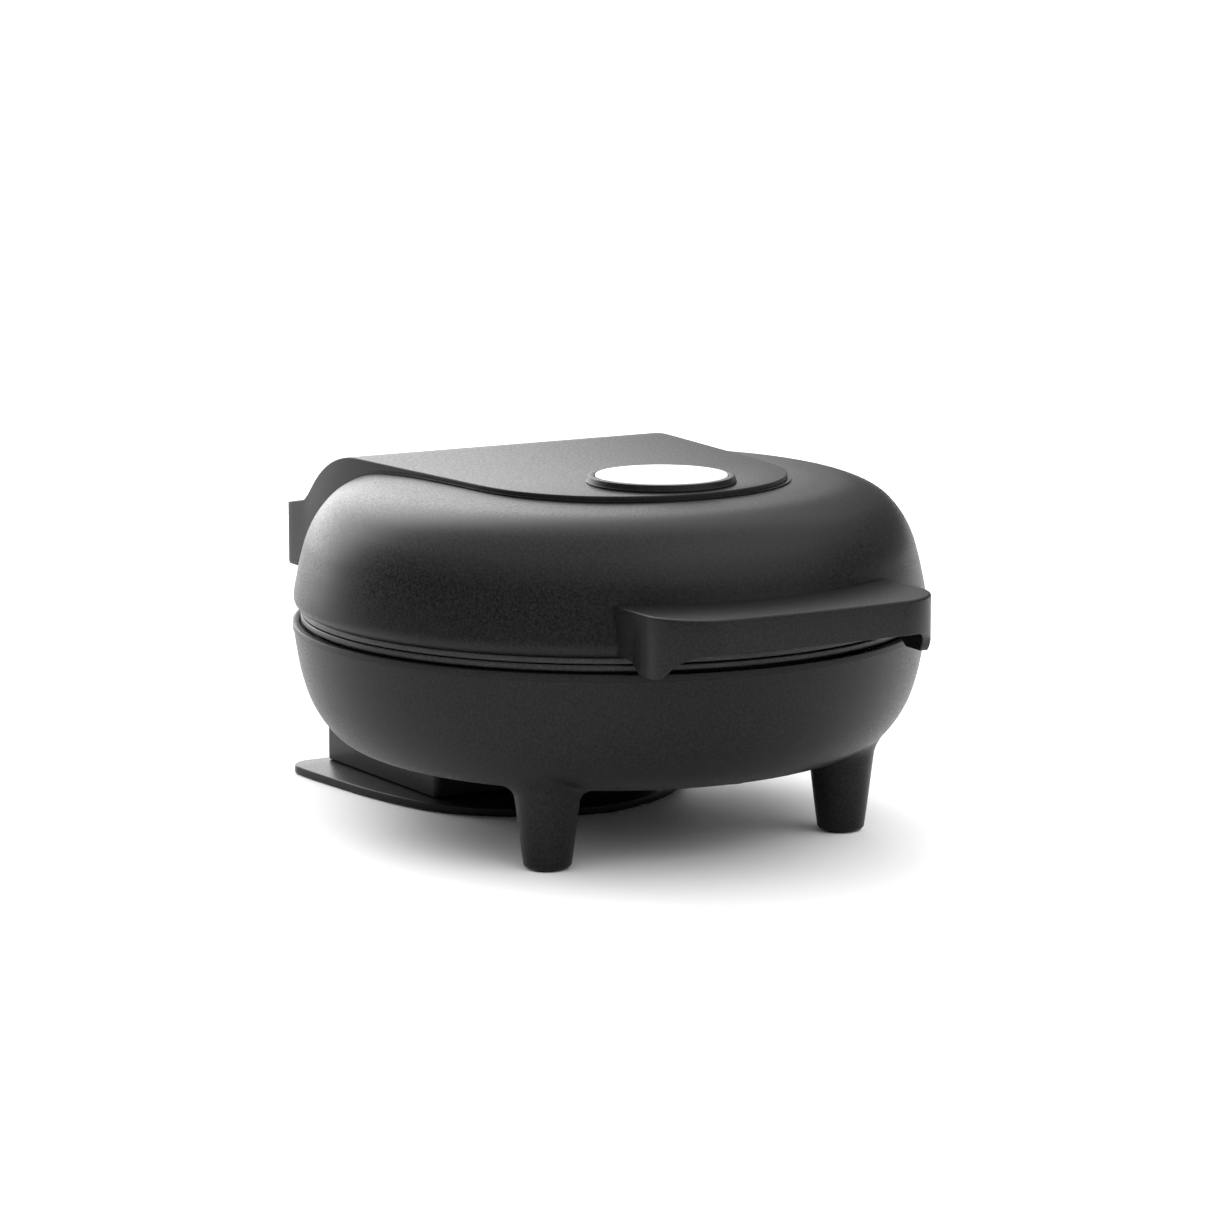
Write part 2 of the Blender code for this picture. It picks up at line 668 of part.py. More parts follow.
def make_handle(lid):
    handle = to_object(prism(handle_outline(), HANDLE_TAB_BOTTOM, HANDLE_TOP), "handle")
    cut(handle, prism([(x, y + 1e-3) for x, y in handle_outline(HANDLE_WALL)], 60, HANDLE_TOP - HANDLE_WALL))
    for side in (-1, 1):
        boss = laid(rod(HANDLE_BOSS_R, 0, 34), (0, -1, 0), side * HANDLE_SCREW_X, -76, HANDLE_SCREW_Z)
        join(handle, boss)
    slant = [(HANDLE_SLANT[0][0], 60.0)] + HANDLE_SLANT
    grip = [(-x, z) for x, z in slant] + slant[::-1]
    cut(handle, front_prism(grip, -140, -HANDLE_TAB_FRONT))
    notch = [(-70.0, 60.0), (-70.0, 75.0), (-99.0, 73.0), (-103.3, HANDLE_TAB_BOTTOM), (-103.3, 60.0)]
    cut(handle, side_prism(notch, -60, 60))
    cut(handle, lid_solid(GAP))
    for side in (-1, 1):
        hole = laid(rod(1.8, 0, 40, segments=TINY), (0, -1, 0), side * HANDLE_SCREW_X, -67, HANDLE_SCREW_Z)
        cut(handle, hole)
    return place(handle, lid, black_plastic())


def make_indicator(lid):
    """Round white window in a conical ring, with two lamps in a holder beneath."""
    low = STRAP_Z + GAP
    ring = [(LENS_R + GAP, low), (BEZEL_FOOT_R, low), (BEZEL_TOP_R, LENS_Z - 0.5),
            (LENS_R + GAP, LENS_Z - 0.4)]
    bezel = turned(ring, LENS_FACETS, closed=True)
    piece(moved(bezel, 0, LENS_Y), "lens_bezel", lid, black_plastic())
    neck = LENS_R - 1.0
    foot = LID_CURVE[-1][1] + GAP
    roof = LENS_Z - LENS_THICK
    bore = neck - 1.6
    lens = [(0, LENS_Z), (LENS_R, LENS_Z - 0.3), (LENS_R, low), (neck, low), (neck, foot),
            (bore, foot), (bore, roof), (0, roof)]
    piece(moved(turned(lens, LENS_FACETS), 0, LENS_Y), "indicator_lens", lid, white_lens())
    holder = to_object(box((-15, 15), (LENS_Y - 6, LENS_Y + 6), (103, WELL_Z - WALL - GAP)), "lamp_holder")
    for name, x in (("power_lamp", -6.0), ("ready_lamp", 6.0)):
        cut(holder, rod(2.8, 105, 112, (x, LENS_Y), TINY))
        lamp = [(0, 113.4), (1.6, 113.0), (2.5, 111.6), (2.5, 105.3), (0, 105.3)]
        colour = (0.8, 0.12, 0.05) if name == "power_lamp" else (0.1, 0.6, 0.15)
        piece(moved(turned(lamp, 12), x, LENS_Y), name, lid, material(name, colour, 0.2))
    place(holder, lid, ceramic())


# ---------------------------------------------------------------- rear housing and its fittings

def make_rear_housing(base):
    housing = to_object(prism(housing_outline(), WRAP_TOP + GAP, HOUSING_TOP), "rear_housing")
    cut(housing, prism(housing_outline(WALL), 0, HOUSING_TOP - WALL))
    for side in (-1, 1):
        join(housing, rod(BOSS, 8, 30, (side * HOUSING_SCREW_XY[0], HOUSING_SCREW_XY[1]), TINY))
    for x, y in WRAP_SCREWS.values():
        join(housing, rod(BOSS, WRAP_TOP + GAP, 30, (x, y), TINY))
    cut(housing, bowl_solid(GAP))
    for side in (-1, 1):
        cut(housing, rod(1.8, 12, 32, (side * HOUSING_SCREW_XY[0], HOUSING_SCREW_XY[1]), TINY))
    for x, y in WRAP_SCREWS.values():
        cut(housing, rod(1.8, 0, 15, (x, y), TINY))
    crown = arc((HINGE_Y, HINGE_Z), EAR_R, -40, 200, 12)
    ear = [(EAR_STEM[0], 64.5), (EAR_STEM[1], 64.5), (EAR_STEM[1], 76.0)] + crown
    for side in (-1, 1):
        low, high = sorted((side * EAR_X[0], side * EAR_X[1]))
        join(housing, side_prism(ear, low, high))
        cut(housing, laid(rod(PIN_R + GAP, low - 2, high + 2), (1, 0, 0), 0, HINGE_Y, HINGE_Z))
    hole = laid(rod(5.3, 0, 12), (0, 1, 0), GLAND_XZ[0], HOUSING_BACK - 6, GLAND_XZ[1])
    cut(housing, hole)
    return place(housing, base, black_plastic())


def make_wrap_plate(base):
    plate = to_object(prism(wrap_outline(), WRAP_BOTTOM, WRAP_TOP), "cord_wrap_plate")
    for x, y in WRAP_SCREWS.values():
        cut(plate, rod(4.1, -2, WRAP_RECESS_Z, (x, y)))
        cut(plate, rod(1.8, 0, 5, (x, y), TINY))
    for side in (-1, 1):
        cut(plate, rod(REAR_PAD_R + GAP, -2, WRAP_RECESS_Z, (side * REAR_PAD_XY[0], REAR_PAD_XY[1])))
    return place(plate, base, black_plastic())


def make_base_fittings(base):
    for side, label in ((-1, "left"), (1, "right")):
        foot = rod(FOOT_PAD_R, 0, PAD_SEAT_Z - GAP, (side * FOOT_XY[0], FOOT_XY[1]))
        piece(foot, f"foot_pad_{label}", base, rubber())
        rear = rod(REAR_PAD_R, 0, WRAP_RECESS_Z - GAP, (side * REAR_PAD_XY[0], REAR_PAD_XY[1]))
        piece(rear, f"rear_pad_{label}", base, rubber())
        pin = laid(rod(PIN_R, 30.0, 50.0), (side, 0, 0), 0, HINGE_Y, HINGE_Z)
        piece(pin, f"hinge_pin_{label}", base, steel())
        at = (side * HOUSING_SCREW_XY[0], HOUSING_SCREW_XY[1])
        screw(f"housing_screw_{label}", base, 28.4, 14.0, at, 3.2, 1.5, 2.0)
    bush = [(3.3, -4.0), (5.0, -4.0), (5.0, GAP), (7.0, GAP), (6.6, 2.4), (3.6, 2.6)]
    gland = laid(turned(bush, SMALL, closed=True), (0, 1, 0), GLAND_XZ[0], HOUSING_BACK, GLAND_XZ[1])
    piece(gland, "cord_gland", base, rubber())
    block = box((-13, 13), (84, 97), (WRAP_TOP + GAP, 15))
    piece(block, "terminal_block", base, ceramic())
    fuse = laid(rod(2.2, -8, 8, (0, 0), 10), (1, 0, 0), 0, 26, 49)
    piece(fuse, "thermal_fuse", base, ceramic())
    disc = [(0, 55.0), (8.0, 55.0), (8.0, 52.2), (6.6, 52.2), (6.6, 46.5), (0, 46.5)]
    piece(turned(disc, 20), "thermostat", base, bare_aluminium())


# ---------------------------------------------------------------- assembly

def make_base(base):
    make_base_shell(base)
    outer = list(shell_boss_spots().values())
    boss_end = LOWER_SHIELD_Z + SHIELD_THICK + GAP
    make_plate("lower_cooking_plate", base, LOWER_FACE_Z, -1, {at: boss_end for at in outer})
    make_heater("lower_heating_element", base, LOWER_FACE_Z - HEATER_DROP, -1)
    holes = [(2.3, at) for at in outer] + [(5.0, at) for at in terminal_spots()]
    make_shield("lower_heat_shield", base, LOWER_SHIELD_Z, -1, holes)
    make_rear_housing(base)
    make_wrap_plate(base)
    make_base_fittings(base)
    for label, at in shell_boss_spots().items():
        screw(f"base_screw_{label}", base, 39.7, 56.0, at, 3.5)
    for label, at in WRAP_SCREWS.items():
        screw(f"wrap_screw_{label}", base, 1.6, 14.0, at, 3.7, 1.5, 1.1)


def make_lid(lid):
    make_lid_shell(lid)
    outer = list(shell_boss_spots().values())
    inner = spots(INNER_BOSS_R, -30)
    bosses = {at: UPPER_SHIELD_Z - GAP for at in outer} | {at: LID_BOSS_END for at in inner}
    make_plate("upper_cooking_plate", lid, UPPER_FACE_Z, 1, bosses)
    make_heater("upper_heating_element", lid, UPPER_FACE_Z + HEATER_DROP, 1)
    holes = [(2.3, at) for at in outer] + [(5.0, at) for at in inner + terminal_spots()]
    make_shield("upper_heat_shield", lid, UPPER_SHIELD_Z, 1, holes)
    make_top_strap(lid)
    make_handle(lid)
    make_indicator(lid)
    for label, at in shell_boss_spots().items():
        screw(f"shield_screw_{label}", lid, UPPER_SHIELD_Z + SHIELD_THICK + GAP, 84.0, at)
    for label, at in zip(("right", "rear", "left"), inner):
        screw(f"lid_screw_{label}", lid, 100.3, 86.0, at)
    for side, label in ((-1, "left"), (1, "right")):
        at = (side * STRAP_SCREW_XY[0], STRAP_SCREW_XY[1])
        screw(f"strap_screw_{label}", lid, 109.1, 113.4, at, 5.2, 1.4)
        shape = [(0, -2.3), (3.2, -2.3), (3.2, 0), (1.5, 0), (1.5, 12.0), (0, 12.0)]
        bolt = laid(turned(shape, TINY), (0, -1, 0), side * HANDLE_SCREW_X, -92.0, HANDLE_SCREW_Z)
        piece(bolt, f"handle_screw_{label}", lid, steel())


def main():
    clear_scene()
    base = body_empty("base_frame", 0.0, 0.0)
    lid = body_empty("lid_hinge_frame", HINGE_Y, HINGE_Z)
    make_base(base)
    make_lid(lid)


main()
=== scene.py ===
"""Looks of the donut maker: fine shells, strap, handle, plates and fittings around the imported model.

Shapes are worked out in millimetres, with x and y from the body's vertical axis and z above the
surface that it stands on. place() scales them to metres and moves them onto that axis.
"""
import json
from math import cos, pi, radians, sin

import bmesh
import bpy
from mathutils import Matrix, Vector


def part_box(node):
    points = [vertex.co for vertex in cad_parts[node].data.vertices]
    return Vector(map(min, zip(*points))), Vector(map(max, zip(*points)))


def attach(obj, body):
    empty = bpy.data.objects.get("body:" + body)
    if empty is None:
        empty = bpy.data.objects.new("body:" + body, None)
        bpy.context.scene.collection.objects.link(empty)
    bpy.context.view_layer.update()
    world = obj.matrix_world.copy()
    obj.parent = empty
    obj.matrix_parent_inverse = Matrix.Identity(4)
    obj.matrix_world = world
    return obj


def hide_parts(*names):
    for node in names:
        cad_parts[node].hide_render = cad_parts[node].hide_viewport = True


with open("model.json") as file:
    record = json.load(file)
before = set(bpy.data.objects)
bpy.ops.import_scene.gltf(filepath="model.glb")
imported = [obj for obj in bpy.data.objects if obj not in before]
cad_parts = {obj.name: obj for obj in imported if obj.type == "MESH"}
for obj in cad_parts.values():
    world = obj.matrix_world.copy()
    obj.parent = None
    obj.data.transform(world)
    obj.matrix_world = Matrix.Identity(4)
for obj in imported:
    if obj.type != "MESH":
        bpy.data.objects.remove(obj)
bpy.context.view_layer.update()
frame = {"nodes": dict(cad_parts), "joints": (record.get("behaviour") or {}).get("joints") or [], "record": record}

MM = 0.001
ROUND = 240                    # facets of the big shells
MEDIUM = 96                    # facets of the lens, its ring and the grooves
SMALL = 48                     # facets of pads, screws and bosses
CONTACT = 0.12                 # dark line left where two plastic pieces meet
SHARP = radians(34.0)
PLATE_SHARP = radians(24.0)    # keeps the flat cooking faces flat beside the rounded lips


# ---------------------------------------------------------------- sizes, read from the frame

AXIS_Y = sum(corner.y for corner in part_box("upper_cooking_plate")) / 2 / MM


def span(node):
    """Lowest and highest corner of a CAD node in millimetres, measured from the body axis."""
    low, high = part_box(node)
    shift = Vector((0.0, AXIS_Y, 0.0))
    return low / MM - shift, high / MM - shift


RIM_R = span("base_shell")[1].x
RIM_Z = span("base_shell")[1].z
LID_LOW = span("lid_shell")[0].z
LID_TOP = span("lid_shell")[1].z
PLATE_R = span("lower_cooking_plate")[1].x
LOWER_FACE = span("lower_cooking_plate")[1].z
UPPER_FACE = span("upper_cooking_plate")[0].z
STRAP_LOW, STRAP_HIGH = span("top_strap")
HANDLE_LOW, HANDLE_HIGH = span("handle")
LENS_LOW, LENS_HIGH = span("indicator_lens")
HOUSING_LOW = span("rear_housing")[0]
WRAP_LOW, WRAP_HIGH = span("cord_wrap_plate")
HINGE = Vector(frame["joints"][0]["pos_m"]) / MM - Vector((0.0, AXIS_Y, 0.0))

# bowl and lid as (radius, height), the rim and the lower lip first
BOWL_CURVE = [(RIM_R, RIM_Z), (102.75, 58.5), (101.2, 50.5), (98.4, 42.0), (94.0, 34.6),
              (88.5, 29.2), (80.5, 25.9), (70.0, 24.4), (58.0, 24.0), (50.0, 24.0)]
BOWL_BOTTOM = 24.0
RIM_LIP_INNER = 99.0           # the rim is thickened inwards to carry the plate
RIM_LIP_DEPTH = 3.0
RIM_SEAT_DEPTH = 0.9
RIM_BAND = 2.0                 # upright band under the rim
RIM_RUN_ON = 12.0              # how far the solid that cuts with the bowl's shape runs on above it
WALL = 2.5
LID_CURVE = [(102.3, LID_LOW), (103.3, 74.0), (103.5, 76.4), (102.3, 83.0), (101.0, 88.6),
             (98.9, 95.5), (95.2, 102.3), (89.4, 108.3), (80.5, 112.1), (69.0, 113.6),
             (58.0, LID_TOP), (50.0, LID_TOP)]
LID_LIP = 2.0
LID_RUN_ON = 3.0               # as RIM_RUN_ON, below the lid
WELL_R = 49.5                  # the round recess under the strap
WELL_Z = 111.9

# rings baked between the plates
RING_PITCH = 62.5
RING_MID = 17.5
RING_HALF = 10.5
RING_DEPTH = 12.0
LIP_ROUND = 1.3
FLANGE = 2.1
PLATE_BODY_R = 98.4
PLATE_THICK = 3.45
RING_BACK = [(30.2, PLATE_THICK), (26.0, 11.5), (20.5, 14.2), (14.5, 14.2), (5.2, 6.0)]

# strap: (x, y) from its tip along the right-hand side, and (y, height) from front to back
STRAP_TIP = [(0.0, -60.5), (14.0, -58.9), (27.5, -53.8), (38.0, -46.2), (45.3, -37.0),
             (49.5, -29.0), (52.1, -20.5), (53.7, -10.5)]
STRAP_HALF_WIDTH = 54.6        # beside the body axis
STRAP_FLARE = 0.087
STRAP_FLARE_END = 50.0         # from here the sides ease round until they run parallel
STRAP_EASE = 38.0
STRAP_EDGE = 0.45
STRAP_CORNER = 2.5
STRAP_SKIRT = 1.3              # width of the thin ledge at the foot of its wall
STRAP_SKIRT_RISE = 0.5
STRAP_SLOPE = [(-62.0, STRAP_HIGH.z), (50.0, STRAP_HIGH.z), (60.0, STRAP_HIGH.z), (66.0, 115.95),
               (71.0, 115.5), (75.0, 114.7), (80.4, 113.1), (86.4, 110.3), (92.5, 106.2), (98.7, 100.3),
               (101.2, 97.9), (103.0, 97.1), (109.4, 95.9), (STRAP_HIGH.y, 94.6)]
EAR_X = (36.0, 44.0)
EAR_R = 6.0
EAR_STEM = (101.0, 111.5)      # front and back of the ear below its eye
EAR_STEM_Z = (64.0, 76.0)
EAR_EDGE = 0.4
EYE_ROOM = 0.25                # round the pin, in the ear
LUG_X = ((29.5, 35.5), (44.5, 50.5))
LUG_R = 5.5
LUG_ROOT_Z = (95.3, 93.5)
BORE_X = (28.0, 52.0)          # ends of the pin's bore through the lugs
BORE_ROOM = 0.3
STRAP_HOLLOW_FRONT = 62.0
STRAP_HOLLOW_LOW = 40.0
STRAP_HOLLOW_HALF = 70.0       # wider than the strap, whose walls trim it
STRAP_HOLLOW_Z = (30.0, 130.0)
SLOT_ROOM = 0.8                # beside each ear, in the slots that let the block swing past it
SLOT_FRONT = 4.0               # behind the hinge line
SLOT_TOP = 5.0                 # above it
SLOT_LOW = 60.0
SLOT_BACK = 5.0                # behind the strap
PIN_R = 2.0
SCREW_SHANK_R = 1.55

# indicator
BEZEL_FOOT_R = 24.2
BEZEL_TOP_R = 23.6
BEZEL_GAP = 0.3                # dark line between ring and disc
BEZEL_SINK = 0.35              # of the ring's top below the disc's
LENS_NECK_WALL = 1.6
LENS_SHELF = 0.6               # of the strap, under the disc's edge
LENS_HOLE_Z = (100.0, 130.0)

# handle
HANDLE_CORNER = 19.0
HANDLE_BOW = 1.0
HANDLE_WALL = 2.8
HANDLE_EDGE = 0.8
HANDLE_GRIP_Z = 77.5
HANDLE_SLANT = [(49.4, HANDLE_LOW.z), (47.6, 72.6), (45.0, 75.1), (41.0, 76.9), (35.0, HANDLE_GRIP_Z)]
HANDLE_TAB_FRONT = 108.5
HANDLE_NOTCH = [(-103.5, 0.0), (-99.0, 3.7), (-70.0, 5.7)]      # rise of the tab's foot at the lid
HANDLE_FOOT_EDGE = 0.35
HANDLE_END_Y = -74.0           # its two ends, inside the lid
HANDLE_BOSS_R = 5.2
HANDLE_BOSS_Y = -76.0
HANDLE_BOSS_LENGTH = 31.0
HANDLE_SCREW_XZ = (36.0, 80.5)

# feet and rear stand
FOOT_XY = (55.0, -55.4)
FOOT_R = 7.75
FOOT_TOP_R = 10.9
FOOT_TOP_Z = 27.2
FOOT_EDGE = 1.6
FOOT_SOLE_Z = 0.5
FOOT_LEVELS = (6.0, 12.0, 17.0)     # points of its straight side
FOOT_LIMIT_Z = 60.0            # the feet meet the bowl somewhere below this
FOOT_ROOT = 0.9                # how far a foot runs on into the bowl's wall
FOOT_FILLET = (4.2, 4.6)       # the hollow curve between foot and bowl, down and outwards
FOOT_RECESS_R = 5.4            # for the rubber pad
FOOT_RECESS_Z = 1.4
SHELL_BOSS_CIRCLE = 71.8       # screw bosses in the bowl
SHELL_BOSS_ANGLES = (-90, 30, 150)
SHELL_BOSS_R = 8.0
SHELL_BOSS_Z = (25.6, 42.5)
SHELL_RECESS_R = 6.0
SHELL_RECESS_MOUTH = 1.4       # how much wider the recess is where it opens
HOUSING_FRONT = 38.6
HOUSING_BACK = 116.0
HOUSING_HALF = 43.5            # beside the body axis
HOUSING_FLARE = 0.0206
HOUSING_TOP = 66.0
HOUSING_SINK = 0.15            # of its foot, into the cord-wrap plate
HOUSING_EDGE = 0.8
HOUSING_CORNERS = (2.6, 2.0)   # front and back
GLAND_Z = 14.0
GLAND_HOLE_R = 5.3
WRAP_CURVE = [(0.0, 2.8), (21.8, 9.2), (38.5, 20.8), (47.7, 33.3), (53.0, 48.0), (56.6, 66.0),
              (58.6, 84.0), (60.0, 100.0), (60.4, 109.5)]
WRAP_CORNER = 8.5
WRAP_EDGE = 0.45
WRAP_RECESS_Z = 1.9            # roof of the recesses for its screws and pads
WRAP_RECESS_ROOM = 0.35
WRAP_HEAD = 1.1                # height of its screws' heads
BASE_HEAD = 2.4                # height of the heads in the bowl
REAR_PADS = ("rear_pad_left", "rear_pad_right")


# ---------------------------------------------------------------- curves and outlines

def smooth_curve(knots, steps):
    """Catmull-Rom curve through the knots, with `steps` spans between neighbours."""
    ends = [knots[0], *knots, knots[-1]]
    points = []
    for i in range(1, len(ends) - 2):
        p0, p1, p2, p3 = (Vector(p) for p in ends[i - 1:i + 3])
        for k in range(steps):
            t = k / steps
            points.append(tuple(0.5 * (2 * p1 + (p2 - p0) * t + (2 * p0 - 5 * p1 + 4 * p2 - p3) * t * t
                                       + (3 * p1 - p0 - 3 * p2 + p3) * t ** 3)))
    points.append(tuple(knots[-1]))
    return points


def offset(points, distance, closed=False):
    """Shift a line sideways; a positive distance is to the left of its direction."""
    count = len(points)
    shifted = []
    for i, point in enumerate(points):
        before = points[(i - 1) % count if closed else max(i - 1, 0)]
        after = points[(i + 1) % count if closed else min(i + 1, count - 1)]
        here = Vector(point[:2])
        first = (here - Vector(before[:2]))
        second = (Vector(after[:2]) - here)
        first = first.normalized() if first.length > 1e-9 else second.normalized()
        second = second.normalized() if second.length > 1e-9 else first
        along = (first + second).normalized()
        stretch = 1 / max(0.5, along.dot(first))
        shifted.append((point[0] - along.y * distance * stretch, point[1] + along.x * distance * stretch))
    return shifted


def arc(centre, radius, start, stop, steps):
    """Points on a circle, angles in degrees."""
    points = []
    for k in range(steps + 1):
        angle = radians(start + (stop - start) * k / steps)
        points.append((centre[0] + radius * cos(angle), centre[1] + radius * sin(angle)))
    return points


def rounded(corners, steps=5):
    """Round the corners of a line given as (x, y) or (x, y, radius)."""
    points = []
    count = len(corners)
    for i, corner in enumerate(corners):
        radius = corner[2] if len(corner) > 2 else 0.0
        here = Vector(corner[:2])
        if not radius or i in (0, count - 1):
            points.append(tuple(here))
            continue
        to_last = (Vector(corners[i - 1][:2]) - here).normalized()
        to_next = (Vector(corners[i + 1][:2]) - here).normalized()
        start = here + to_last * radius
        stop = here + to_next * radius
        for k in range(steps + 1):
            t = k / steps
            points.append(tuple(start * (1 - t) ** 2 + here * 2 * t * (1 - t) + stop * t * t))
    return points


def value_at(curve, place):
    """Second value of a line at a first value, which rises steadily along it."""
    for (a0, b0), (a1, b1) in zip(curve, curve[1:]):
        if a0 <= place <= a1:
            return b0 + (b1 - b0) * (place - a0) / max(a1 - a0, 1e-9)
    return curve[0][1] if place < curve[0][0] else curve[-1][1]


def height_on(curve, radius):
    """Height of a (radius, height) line at a radius, for a line whose radius falls steadily."""
    for (r0, z0), (r1, z1) in zip(curve, curve[1:]):
        if r1 <= radius <= r0:
            return z0 + (z1 - z0) * (radius - r0) / (r1 - r0) if r0 > r1 else z0
    return curve[-1][1] if radius < curve[-1][0] else curve[0][1]


# ---------------------------------------------------------------- mesh makers

def finish(bm):
    bmesh.ops.remove_doubles(bm, verts=bm.verts, dist=1e-4)
    bmesh.ops.recalc_face_normals(bm, faces=bm.faces)
    return bm


def turned(profile, segments=SMALL, closed=False):
    """Spin a (radius, height) line about Z. An open line starts and ends on the axis."""
    bm = bmesh.new()
    verts = [bm.verts.new((r, 0, z)) for r, z in profile]
    pairs = list(zip(verts, verts[1:]))
    if closed:
        pairs.append((verts[-1], verts[0]))
    edges = [bm.edges.new(pair) for pair in pairs]
    bmesh.ops.spin(bm, geom=verts + edges, axis=(0, 0, 1), cent=(0, 0, 0), angle=2 * pi,
                   steps=segments, use_merge=True)
    return finish(bm)


def slab(outline, low, high, edge=0.0, steps=4):
    """A plan outline, counter-clockwise, raised between two heights, its edges rounded."""
    levels = [(0, low)]
    if edge:
        levels = [(edge * (1 - sin(a)), low + edge * (1 - cos(a))) for a in quarter(steps)]
    levels += [(inset, low + high - z) for inset, z in reversed(levels)]
    bm = bmesh.new()
    loops = []
    for inset, z in levels:
        line = offset(outline, inset, closed=True) if inset else outline
        loops.append([bm.verts.new((x, y, z)) for x, y in line])
    for lower, upper in zip(loops, loops[1:]):
        skin(bm, lower, upper)
    bm.faces.new(loops[0][::-1])
    bm.faces.new(loops[-1])
    return finish(bm)


def quarter(steps):
    return [pi / 2 * k / steps for k in range(steps + 1)]


def skin(bm, lower, upper, closed=True):
    """Join two rows of the same number of points with faces."""
    count = len(lower)
    for i in range(count if closed else count - 1):
        j = (i + 1) % count
        bm.faces.new((lower[i], lower[j], upper[j], upper[i]))


def side_slab(outline, x0, x1, edge=0.0):
    """A (y, z) outline raised along X."""
    bm = slab(outline, x0, x1, edge)
    swap = Matrix(((0, 0, 1, 0), (1, 0, 0, 0), (0, 1, 0, 0), (0, 0, 0, 1)))
    bmesh.ops.transform(bm, matrix=swap, verts=bm.verts)
    return finish(bm)


def box(x, y, z):
    """A box from three (low, high) pairs."""
    return slab([(x[0], y[0]), (x[1], y[0]), (x[1], y[1]), (x[0], y[1])], z[0], z[1])


def rod(radius, low, high, at=(0, 0), segments=SMALL):
    return moved(turned([(0, high), (radius, high), (radius, low), (0, low)], segments), *at)


def moved(bm, x=0.0, y=0.0, z=0.0):
    bmesh.ops.translate(bm, verts=bm.verts, vec=(x, y, z))
    return bm


def laid(bm, axis, x=0.0, y=0.0, z=0.0):
    """Turn an upright mesh to point along `axis`, then move it."""
    turn = Vector((0, 0, 1)).rotation_difference(Vector(axis)).to_matrix().to_4x4()
    bmesh.ops.transform(bm, matrix=turn, verts=bm.verts)
    return moved(bm, x, y, z)


def to_object(bm, name):
    mesh = bpy.data.meshes.new(name)
    bm.to_mesh(mesh)
    bm.free()
    obj = bpy.data.objects.new(name, mesh)
    bpy.context.scene.collection.objects.link(obj)
    return obj


def taken(obj):
    """Turn a helper object back into a free mesh."""
    bm = bmesh.new()
    bm.from_mesh(obj.data)
    bpy.data.objects.remove(obj, do_unlink=True)
    return bm


def is_closed(mesh):
    bm = bmesh.new()
    bm.from_mesh(mesh)
    closed = len(bm.faces) > 0 and all(len(edge.link_faces) == 2 for edge in bm.edges)
    bm.free()
    return closed


def combine(obj, bm, operation):
    """Apply one Boolean; the exact solver takes over where the manifold one can't work."""
    tool = to_object(bm, "tool")
    for solver in ("MANIFOLD", "EXACT"):
        modifier = obj.modifiers.new("step", "BOOLEAN")
        modifier.operation = operation
        modifier.solver = solver
        modifier.object = tool
        graph = bpy.context.evaluated_depsgraph_get()
        result = bpy.data.meshes.new_from_object(obj.evaluated_get(graph))
        obj.modifiers.clear()
        if is_closed(result):
            break
    obj.data = result
    bpy.data.objects.remove(tool, do_unlink=True)
    return obj


def cut(obj, bm):
    return combine(obj, bm, "DIFFERENCE")


def join(obj, bm):
    return combine(obj, bm, "UNION")


def place(obj, body, slot, *nodes, sharp=SHARP):
    """Scale to metres on the body axis, shade, and let the piece stand for its CAD nodes."""
    obj.data.transform(Matrix.Translation((0, AXIS_Y * MM, 0)) @ Matrix.Scale(MM, 4))
    obj.data.materials.clear()
    obj.data.materials.append(MATERIALS[slot]())
    obj.data.shade_smooth()
    obj.data.set_sharp_from_angle(angle=sharp)
    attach(obj, body)
    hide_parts(*nodes)
    return obj


def piece(bm, node, body, slot):
    """A finished mesh that stands for one CAD node."""
    return place(to_object(bm, f"{node}_fine"), body, slot, node)


# ---------------------------------------------------------------- materials

def new_material(name, roughness, metallic=0.0, colour=(0.5, 0.5, 0.5)):
    """A Principled material; returns it with its tree and shader."""
    made = bpy.data.materials.new(name)
    made.use_nodes = True
    tree = made.node_tree
    shader = tree.nodes["Principled BSDF"]
    shader.inputs["Base Color"].default_value = (*colour, 1)
    shader.inputs["Roughness"].default_value = roughness
    shader.inputs["Metallic"].default_value = metallic
    return made, tree, shader


def noise(tree, scale, detail=2.0, roughness=0.5, stretch=None):
    """A noise texture in object space, its size given in features per metre."""
    coordinates = tree.nodes.new("ShaderNodeTexCoord")
    texture = tree.nodes.new("ShaderNodeTexNoise")
    texture.inputs["Scale"].default_value = scale
    texture.inputs["Detail"].default_value = detail
    texture.inputs["Roughness"].default_value = roughness
    source = coordinates.outputs["Object"]
    if stretch:
        mapping = tree.nodes.new("ShaderNodeMapping")
        mapping.inputs["Scale"].default_value = stretch
        tree.links.new(source, mapping.inputs["Vector"])
        source = mapping.outputs["Vector"]
    tree.links.new(source, texture.inputs["Vector"])
    return texture.outputs["Fac"]


def ramp(tree, source, low, high, first=0.35, last=0.65):
    """Spread a 0 to 1 value between two colours or greys."""
    node = tree.nodes.new("ShaderNodeValToRGB")
    node.color_ramp.elements[0].position = first
    node.color_ramp.elements[1].position = last
    node.color_ramp.elements[0].color = (*low, 1) if isinstance(low, tuple) else (low, low, low, 1)
    node.color_ramp.elements[1].color = (*high, 1) if isinstance(high, tuple) else (high, high, high, 1)
    tree.links.new(source, node.inputs["Fac"])
    return node.outputs["Color"]


def bump(tree, shader, layers):
    """Stack bump layers, each (height source, strength, distance in metres)."""
    normal = None
    for source, strength, distance in layers:
        node = tree.nodes.new("ShaderNodeBump")
        node.inputs["Strength"].default_value = strength
        node.inputs["Distance"].default_value = distance
        tree.links.new(source, node.inputs["Height"])
        if normal:
            tree.links.new(normal, node.inputs["Normal"])
        normal = node.outputs["Normal"]
    tree.links.new(normal, shader.inputs["Normal"])


def cached(build):
    """Make a material once and hand out the same one afterwards."""
    made = []

    def get():
        if not made:
            made.append(build())
        return made[0]
    return get


